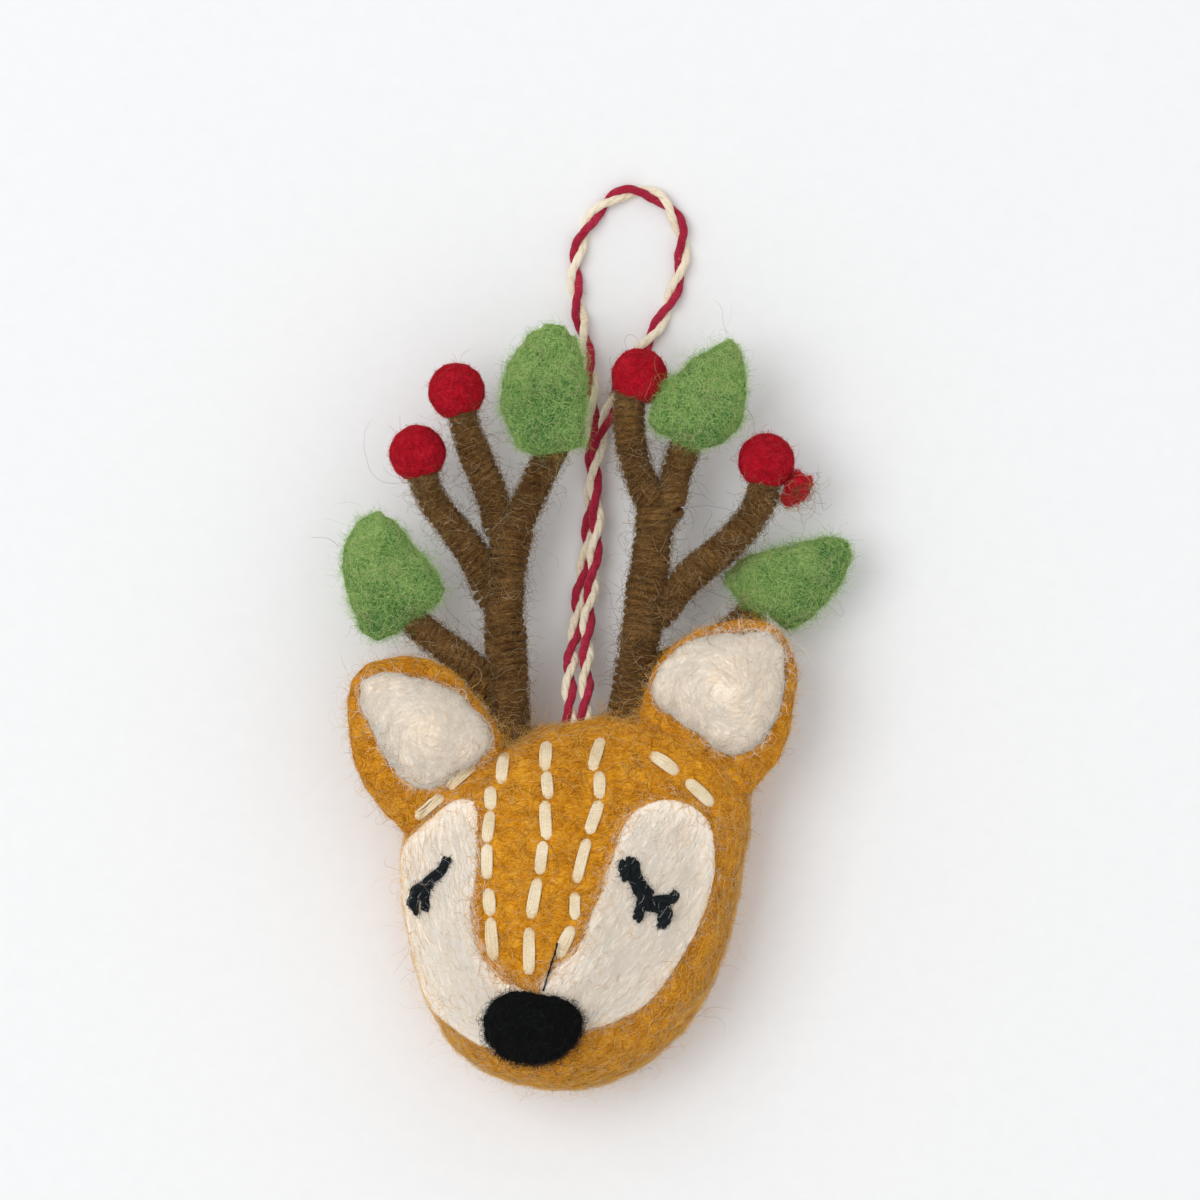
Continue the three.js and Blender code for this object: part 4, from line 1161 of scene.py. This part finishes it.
mustard_hairs = hair_shades(
    {"mustard": "#DC9418", "light mustard": "#F5C459", "dark mustard": "#9C6008"}
)
cream_hairs = hair_shades({"cream": "#FFF6E9", "white": "#FFFDF8", "shaded cream": "#F6E6D0"})
green_hairs = hair_shades({"green": "#7AAE50", "yellow green": "#C0DE8A", "deep green": "#347C3E"})
red_hairs = hair_shades(
    {"red": "#C60A22", "light red": "#DA3A4A", "dark red": "#8A0A1A", "bright red": "#E21E34"}
)
brown_hairs = hair_shades({"brown": "#66441E", "light brown": "#AA8654", "dark brown": "#3C2810"})
tan_hairs = hair_shades({"tan": "#A58558", "pale tan": "#D8C6A4", "grey brown": "#6F5A40"})
black_hairs = hair_shades({"black": "#0A0B0C", "grey": "#2A2D30"})
frosted_hairs = mustard_hairs + tan_hairs[1:2]

UP_START = 0.55
LEAST_SHARE = 0.02
EDGE_SLOPE = 0.15
EDGE_SPREAD = 0.12


def faces_up(points, normals):
    """Many seeds on top, few underneath."""
    return np.clip(normals[:, 2] + UP_START, LEAST_SHARE, 1)


def on_top(points, normals):
    return np.clip(normals[:, 2] - 0.05, 0, 1)


def edge_on(points, normals):
    """Seeds on the steep sides, which make the outline from above."""
    return np.exp(-((normals[:, 2] - EDGE_SLOPE) ** 2) / EDGE_SPREAD)


def outside(tree, points):
    """Which points lie outside of a surface, and how far each one is from it."""
    places, outs = nearest(tree, points)
    return np.sum((points - places) * outs, axis=1) > 0, np.linalg.norm(points - places, axis=1)


def near_to(tree, reach):
    """Keeps seeds within about reach, in mm, of what the piece comes out of, and outside of it."""

    def keep(points, normals):
        clear, away = outside(tree, points)
        return clear * faces_up(points, normals) * np.exp(-((away / (reach * MM)) ** 2))

    return keep


# %% The coat of the head and the ears: a close nap, a loose one, a fringe and curls in the air
COAT_END_SHARE = 0.6
border_faces = border_share[ball_faces].mean(axis=1)


def bare_coat(points, normals):
    return faces_up(points, normals) * (border_faces < COAT_END_SHARE)


NAP_SHARES = (0.5, 0.28, 0.22)
CURL_SHARES = (0.25, 0.4, 0.1, 0.25)
FRINGE = {"length": 1.1, "steps": 5, "stand": 0.8, "bend": 0.4}
CURLS = {"steps": 16, "stand": 0.7, "bend": 0.32}
hair_piece("head_nap", mustard_hairs, 0.034, NAP_SHARES, [
    lying(seeds_on(head, 5200, bare_coat), coat_tree, any_way, 3.2, steps=6, lift=0.1, bend=0.45),
])
hair_piece("head_loose_hair", frosted_hairs, 0.02, (0.15, 0.72, 0.08, 0.05), [
    lying(seeds_on(head, 1500, bare_coat), coat_tree, any_way, 8, steps=14, lift=0.4, bend=0.3, sway=0.3),
])
# The steep sides get mostly pale hairs: partly the pale frizz of the real sides, partly painted sheen that
# makes the sides lighter than the top.
hair_piece("head_side_hair", frosted_hairs, 0.025, (0.05, 0.6, 0, 0.35), [
    lying(seeds_on(head, 2900, edge_on), coat_tree, any_way, 7, steps=9, lift=0.5, bend=0.36, sway=0.3),
])
hair_piece("head_curls", frosted_hairs, 0.018, CURL_SHARES, [
    flying(seeds_on(head, 3200, edge_on), **FRINGE),
    flying(seeds_on(head, 650, edge_on), 4.2, **CURLS),
    flying(seeds_on(head, 450, bare_coat), 3, steps=12, stand=0.3, bend=0.4),
])
for side, ear in ears.items():
    hair_piece(f"{side}_ear_nap", mustard_hairs, 0.034, NAP_SHARES, [
        lying(seeds_on(ear, 2200, faces_up), coat_tree, any_way, 3.2, steps=7, lift=0.1, bend=0.45),
    ])
    hair_piece(f"{side}_ear_curls", frosted_hairs, 0.018, CURL_SHARES, [
        lying(seeds_on(ear, 500, faces_up), coat_tree, any_way, 7, steps=10, lift=0.5, bend=0.4, sway=0.3),
        flying(seeds_on(ear, 2200, edge_on), **FRINGE),
        flying(seeds_on(ear, 380, edge_on), 3.8, **CURLS),
    ])

# %% The combed patches, and short wisps of both wools that cross at their borders
NOSE_POINT = np.array((-0.118 * HEAD_WIDTH, -0.325 * HEAD_LENGTH, 22 * MM))
COMB_SCATTER = 0.13
CREAM_SHARES = (0.5, 0.3, 0.2)
FLYAWAY = {"length": 2.2, "steps": 10, "stand": 0.4, "bend": 0.5}


def to_the_nose(starts, outs):
    return unit(NOSE_POINT - starts) + chance.normal(0, COMB_SCATTER, starts.shape)


for side, pad in patches.items():
    pad_tree = tree_of(pad)
    combed = lying(
        seeds_on(pad, 3000, on_top), face_tree, to_the_nose, 7, steps=8, lift=0.09, bend=0.07, sway=0.07
    )
    combed = held(combed, pad_tree, reach=1.3)
    hair_piece(f"{side}_cheek_nap", cream_hairs, 0.028, (0.45, 0.37, 0.18), [combed])
    loose = lying(
        seeds_on(pad, 380, on_top), face_tree, to_the_nose, 7, steps=10, lift=0.4, bend=0.2, sway=0.2
    )
    hair_piece(f"{side}_cheek_loose_hair", cream_hairs, 0.02, CREAM_SHARES, [
        held(loose, pad_tree, reach=1.0),
        flying(seeds_on(pad, 300, on_top), **FLYAWAY),
    ])
    at_the_rim = near_to(head_tree, 0.25)
    hair_piece(f"{side}_cheek_rim_wisps", mustard_hairs, 0.024, (0.5, 0.45, 0.05), [
        lying(seeds_on(pad, 300, at_the_rim), face_tree, any_way, 1.9, steps=7, lift=0.14, bend=0.35),
    ])

BORDER_MIDDLE_SHARE = 0.42
BORDER_SPREAD_SHARE = 0.2


def at_the_border(points, normals):
    away = (border_faces - BORDER_MIDDLE_SHARE) / BORDER_SPREAD_SHARE
    return faces_up(points, normals) * np.exp(-(away**2))


hair_piece("cheek_border_wisps", cream_hairs, 0.024, (0.3, 0.1, 0.6), [
    lying(seeds_on(head, 1300, at_the_border), coat_tree, any_way, 1.7, steps=6, lift=0.1, bend=0.35),
])
hair_piece("coat_border_wisps", mustard_hairs, 0.026, (0.6, 0.2, 0.2), [
    lying(seeds_on(head, 2000, at_the_border), coat_tree, any_way, 2.1, steps=6, lift=0.11, bend=0.3),
])

# %% The swirled ear linings, and the tangle where lining meets ear
LINING_REACH = 6 * MM
RING_SCATTER = 0.16
RIM_SCATTER = 0.7
CREST_WAY = np.array((0.5, 0.85, 0.2))
CREST_START = 0.6


def in_rings(heart, starts, outs):
    around = np.cross(UP, starts - heart) / LINING_REACH
    return around + chance.normal(0, RING_SCATTER, starts.shape)


def outwards(heart, starts, outs):
    return unit(starts - heart) + chance.normal(0, RIM_SCATTER, starts.shape)


def crest(heart, points, normals):
    """Seeds at the tip of the ear."""
    return np.clip((points - heart) @ CREST_WAY / LINING_REACH - CREST_START, 0, 1)


for side, lining in linings.items():
    heart = mesh_points(lining.data).mean(axis=0)
    ring_way = partial(in_rings, heart)
    rim_way = partial(outwards, heart)
    lining_tree = tree_of(lining)
    both_tree = tree_of(lining, ears[side])
    at_the_rim = near_to(tree_of(ears[side]), 0.8)
    hair_piece(f"{side}_lining_nap", cream_hairs, 0.024, (0.42, 0.36, 0.22), [
        lying(seeds_on(lining, 1900, on_top), lining_tree, ring_way, 6, steps=9, lift=0.13, bend=0.12,
              sway=0.08),
    ])
    batches = [
        lying(seeds_on(lining, 2400, at_the_rim), both_tree, rim_way, 2.2, steps=5, lift=0.2, bend=0.45),
        lying(seeds_on(lining, 420, at_the_rim), both_tree, rim_way, 5, steps=12, lift=0.8, bend=0.4,
              sway=0.25),
        flying(seeds_on(lining, 450, on_top), **FLYAWAY),
    ]
    if side == "right":
        starts, outs = seeds_on(lining, 450, partial(crest, heart))
        batches.append(flying((starts, outs + CREST_WAY), 3.4, steps=10, stand=0.9, bend=0.35))
    hair_piece(f"{side}_lining_wisps", cream_hairs, 0.024, CREAM_SHARES, batches)
    hair_piece(f"{side}_lining_ring", tan_hairs, 0.018, (0.45, 0.5, 0.05), [
        lying(seeds_on(lining, 260, at_the_rim), both_tree, ring_way, 4.5, steps=9, lift=0.3, bend=0.3),
    ])

# %% Leaves, berries and the tuft
PALE_WAY = np.array((-0.65, 0.7, 0.3))
LEAF_REACH = 4.5 * MM
TONE_SIZE = 4 * MM
TONE_DEPTH = 3
TONE_STEEPNESS = 3
TONES = (("nap", 1, (0.42, 0.58, 0)), ("deep_nap", -1, (0.42, 0, 0.58)))


def in_tone(heart, tone, points, normals):
    """Pale patches where tone is 1 and deep ones where it is -1, paler towards the light."""
    pale = (points - heart) @ PALE_WAY / LEAF_REACH + lumps(points, TONE_SIZE, TONE_DEPTH, 3)
    return faces_up(points, normals) / (1 + np.exp(-TONE_STEEPNESS * tone * pale))


for name, leaf in leaves.items():
    leaf_tree = tree_of(leaf)
    heart = mesh_points(leaf.data).mean(axis=0)
    for kind, tone, shares in TONES:
        toned = seeds_on(leaf, 2400, partial(in_tone, heart, tone))
        hair_piece(f"{name}_{kind}", green_hairs, 0.03, shares, [
            lying(toned, leaf_tree, any_way, 4, steps=6, lift=0.22, bend=0.6),
        ])
    leaf_hairs = green_hairs[1:2] + tan_hairs[1:2]
    hair_piece(f"{name}_loose_hair", leaf_hairs, 0.022, (0.85, 0.15), [
        lying(seeds_on(leaf, 420, faces_up), leaf_tree, any_way, 8, steps=10, lift=0.5, bend=0.5),
        lying(seeds_on(leaf, 1300, edge_on), leaf_tree, any_way, 3, steps=6, lift=0.25, bend=0.6),
    ])
    hair_piece(f"{name}_fringe", green_hairs, 0.016, (0.45, 0.5, 0.05), [
        flying(seeds_on(leaf, 3600, edge_on), 1.3, steps=5, stand=0.8, bend=0.85),
        flying(seeds_on(leaf, 260, edge_on), 4, **CURLS),
    ])
for name, berry in berries.items():
    hair_piece(f"{name}_nap", red_hairs, 0.022, (0.66, 0.18, 0.16, 0), [
        lying(seeds_on(berry, 1300, faces_up), tree_of(berry), any_way, 2.2, steps=6, lift=0.1, bend=0.4),
        flying(seeds_on(berry, 900, edge_on), 0.55, steps=5, stand=0.7, bend=0.7),
        flying(seeds_on(berry, 40, edge_on), 2.6, steps=14, stand=0.6, bend=0.35),
    ])
hair_piece("red_tuft_nap", red_hairs, 0.035, (0.3, 0.1, 0, 0.6), [
    lying(seeds_on(tuft, 900), tree_of(tuft), any_way, 2.4, steps=7, lift=0.5, bend=0.7),
    flying(seeds_on(tuft, 380), 1.6, steps=8, stand=0.8, bend=0.6),
])

# %% Nose and eyes
def over_the_muzzle(points, normals):
    return outside(face_tree, points)[0] * edge_on(points, normals)


hair_piece("nose_nap", black_hairs, 0.025, (0.9, 0.1), [
    lying(seeds_on(nose, 900, faces_up), tree_of(nose), any_way, 2.4, steps=7, lift=0.1),
    flying(seeds_on(nose, 2600, over_the_muzzle), 1.1, steps=6, stand=0.7, bend=0.75),
    flying(seeds_on(nose, 320, over_the_muzzle), 2.6, steps=12, stand=0.6, bend=0.55),
])
for name, eye in eyes.items():
    eye_tree = tree_of(eye, *patches.values())
    hair_piece(f"{name}_fuzz", black_hairs, 0.024, (0.9, 0.1), [
        lying(seeds_on(eye, 600, faces_up), face_tree, any_way, 1.4, steps=7, lift=0.25),
        flying(seeds_on(eye, 500, faces_up), 0.8, steps=6, stand=0.7, bend=0.6),
    ])
    hair_piece(f"{name}_crossing_hair", cream_hairs, 0.016, CREAM_SHARES, [
        lying(seeds_on(eye, 26, faces_up), eye_tree, any_way, 3.4, steps=9, lift=0.3, bend=0.3),
    ])

# %% The antlers' hairs: arcs that run with the roving, loose ones across it, a halo and curls
ROVING_CREST = 0.34 * MM
SEED_HEIGHT = 0.8 * ROVING_CREST
LOWEST_SEED = -0.3


def round_strands(name, per_mm, along, sweep, lift, steps):
    """Hairs that lie round a branch. along is how far they stray in mm, sweep their angle round it."""
    line, radii, length, across, up = spines[name]
    count = int(per_mm * (length / MM))
    at = chance.uniform(0.02, 0.98, count) * (len(line) - 1)
    strays = chance.normal(0, along * MM / SPINE_STEP, (2, count))
    angle = chance.uniform(0, math.tau, count)
    sweeps = sweep * chance.uniform(0.3, 1, count)
    lifts = lift * MM * chance.uniform(0.1, 1, count)
    rows = []
    for share in np.linspace(0, 1, steps):
        hump = math.sin(math.pi * share)
        k = at + strays[0] * share + strays[1] * hump
        k = np.clip(k, 0, len(line) - 1).round().astype(int)
        out = radii[k] + ROVING_CREST + lifts * (0.3 + 0.7 * hump)
        rows.append(line[k] + turned_out(across[k], up[k], angle + sweeps * share) * out[:, None])
    return above_floor(np.stack(rows, axis=1), HAIR_ROOT)


def seeds_round(name, per_mm):
    """Seeds on the crests of the roving, on the sides and on top."""
    line, radii, length, across, up = spines[name]
    count = int(per_mm * (length / MM))
    k = chance.integers(0, len(line), count)
    outs = turned_out(across[k], up[k], chance.uniform(0, math.tau, count))
    starts = line[k] + outs * (radii[k] + SEED_HEIGHT)[:, None]
    seen = outs[:, 2] > LOWEST_SEED
    return starts[seen], outs[seen]


ANTLER_HAIRS = (
    ("nap", brown_hairs, 0.034, (0.45, 0.3, 0.25)),
    ("loose_hair", tan_hairs + brown_hairs[:2], 0.02, (0.25, 0.1, 0.2, 0.2, 0.25)),
    ("halo", tan_hairs + brown_hairs[:1], 0.024, (0.3, 0, 0.4, 0.3)),
    ("curls", tan_hairs, 0.018, (0.45, 0.15, 0.4)),
)
carried_tree = tree_of(*berries.values(), *leaves.values())
for side in SIDES:
    grown = {"nap": [], "loose_hair": [], "halo": [], "curls": []}
    for name in [f"{side}_{part}" for part in PARTS]:
        grown["nap"].append(round_strands(name, 16, along=0.3, sweep=1.4, lift=0.1, steps=6))
        grown["loose_hair"].append(round_strands(name, 15, along=1.6, sweep=1.6, lift=0.5, steps=9))
        grown["halo"].append(flying(seeds_round(name, 46), 2, steps=6, stand=0.55, bend=0.85))
        grown["curls"].append(flying(seeds_round(name, 7), 4, steps=12, stand=0.7, bend=0.45))
        ends_tree = head_tree if name.endswith("stem") else carried_tree
        ends = seeds_on(sleeves[name], 150, near_to(ends_tree, 2.5))
        grown["curls"].append(flying(ends, 3.2, steps=12, stand=0.7, bend=0.48))
    for kind, hairs, radius, shares in ANTLER_HAIRS:
        batch = np.concatenate(grown[kind])
        hair_piece(f"{side}_antler_{kind}", hairs, radius, shares, [batch])

# %% Wisps of the coat round the feet of the stems, and the tangle under the tuft
FOOT_WISPS = {"length": 3, "steps": 9, "stand": 0.8, "bend": 0.5}
for side, ear in ears.items():
    at_the_foot = near_to(tree_of(sleeves[f"{side}_antler_stem"]), 2)
    hair_piece(f"{side}_stem_foot_wisps", frosted_hairs, 0.022, (0.3, 0.4, 0, 0.3), [
        flying(seeds_on(head, 350, at_the_foot), **FOOT_WISPS),
        flying(seeds_on(ear, 150, at_the_foot), **FOOT_WISPS),
    ])

TANGLE_WAY = np.array((0.55, -0.75, 0.1))


def towards_tangle(points, normals):
    return np.clip(normals @ TANGLE_WAY, 0, 1)


starts, _ = seeds_on(tuft, 220, towards_tangle)
tangle = flying((starts, TANGLE_WAY), 4.4, steps=12, stand=0.6, bend=0.55)
hair_piece("tine_end_tangle", tan_hairs, 0.026, (0.6, 0.1, 0.3), [tangle])

# %% Fuzz on the twine, and the few long stray hairs that every felted thing picks up
FUZZ_COUNT = 2200
BARE_END_STEPS = 4
which = chance.integers(0, len(yarns), FUZZ_COUNT)
place = chance.integers(BARE_END_STEPS, yarns.shape[1] - BARE_END_STEPS, FUZZ_COUNT)
outs = unit(chance.normal(size=(FUZZ_COUNT, 3)))
starts = yarns[which, place] + outs * YARN_RADIUS
fuzz = flying((starts, outs), 0.7, steps=5, stand=0.6, bend=0.7)
for ply, (name, code) in enumerate((("red", "#B8304A"), ("cream", "#F6EAD2"))):
    cotton = [plain_wool(f"{name} cotton fuzz", code)]
    own_fuzz = fuzz[yarn_slots[which] == ply]
    hair_piece(f"{name}_twine_fuzz", cotton, 0.015, (1,), [own_fuzz])

strays = []
for piece in (*sleeves.values(), *leaves.values(), *ears.values(), head):
    strays.append(flying(seeds_on(piece, 4, faces_up), 11, steps=26, stand=0.5, bend=0.12))
stray_shades = [tan_hairs[2], black_hairs[1]]
hair_piece("stray_hairs", stray_shades, 0.022, (0.5, 0.5), [np.concatenate(strays)])

# %% [markdown]
# ## The hidden wires
#
# The antlers' wires keep their measured solids, with a finish of their own: soft steel wire, drawn
# and dull. It's bright only where the drawing die polished it, hence the uneven roughness.

# %% Drawn steel wire
GRAIN_SIZE = 0.6 * MM
steel = new_material("drawn soft steel wire")
place = add_node(steel, "TexCoord").outputs["Object"]
values = {"Scale": 1 / GRAIN_SIZE, "Detail": 3.0}
grain = add_node(steel, "TexNoise", None, values, {"Vector": place})
dullness = add_node(steel, "MapRange", None, {"To Min": 0.3, "To Max": 0.5}, {"Value": grain})
values = {"Base Color": linear("#8A8D90"), "Metallic": 1.0}
shader = add_node(steel, "BsdfPrincipled", None, values, {"Roughness": dullness})
add_node(steel, "OutputMaterial", links={"Surface": shader})
for side in SIDES:
    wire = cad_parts[f"{side}_antler_wire"]
    wire.data.materials.clear()
    wire.data.materials.append(steel)
    print(wire.name, "faces:", len(wire.data.polygons))

# %% [markdown]
# ## The floor and the light
#
# The ornament lies on a white surface under soft light from the upper left, so its shadow is faint
# and falls to the lower right. The sky gives about three quarters of the light and a broad lamp
# gives the rest. Together they come to a plain level: the white floor renders as it is written.

# %% The floor of matt white paper
FLOOR_SIZE = 6.0
FIBRE_SIZE = 3 * MM
corner = FLOOR_SIZE / 2
floor = mesh_piece(
    "floor", [(-corner, -corner, 0), (corner, -corner, 0), (corner, corner, 0), (-corner, corner, 0)],
    [(0, 1, 2, 3)], [], [],
)
paper = new_material("matt white paper")
place = add_node(paper, "TexCoord").outputs["Object"]
fibre = add_node(paper, "TexNoise", None, {"Scale": 1 / FIBRE_SIZE, "Detail": 4.0}, {"Vector": place})
ramp = add_node(paper, "ValToRGB", links={"Fac": fibre})
set_ramp(ramp.color_ramp, [(0.3, "#F2F3F4"), (0.7, "#F4F5F6")])
values = {"Roughness": 0.9, "Specular IOR Level": 0.2}
shader = add_node(paper, "BsdfPrincipled", None, values, {"Base Color": ramp})
add_node(paper, "OutputMaterial", links={"Surface": shader})
floor.data.materials.append(paper)
print("floor in m:", FLOOR_SIZE)

# %% Sky and lamp
SKY_STRENGTH = 0.745
LAMP_SIZE = 2.0
LAMP_WATTS = 33.0
LAMP_PLACE = Vector((-1.35, 0.4, 2.6))
LAMP_AIM = Vector((0.0, 0.05, 0.0))

world = bpy.data.worlds.new("soft sky")
world.use_nodes = True
sky = world.node_tree.nodes["Background"]
sky.inputs["Color"].default_value = linear("#FFFFFF")
sky.inputs["Strength"].default_value = SKY_STRENGTH
bpy.context.scene.world = world

lamp_data = bpy.data.lights.new("broad lamp", "AREA")
lamp_data.shape = "SQUARE"
lamp_data.size = LAMP_SIZE
lamp_data.energy = LAMP_WATTS
lamp = bpy.data.objects.new("broad lamp", lamp_data)
lamp.location = LAMP_PLACE
lamp.rotation_euler = (LAMP_AIM - LAMP_PLACE).to_track_quat("-Z", "Y").to_euler()
bpy.context.scene.collection.objects.link(lamp)
bpy.context.scene.view_settings.view_transform = "Standard"
print("lamp from the aim in m:", round((LAMP_AIM - LAMP_PLACE).length, 2))
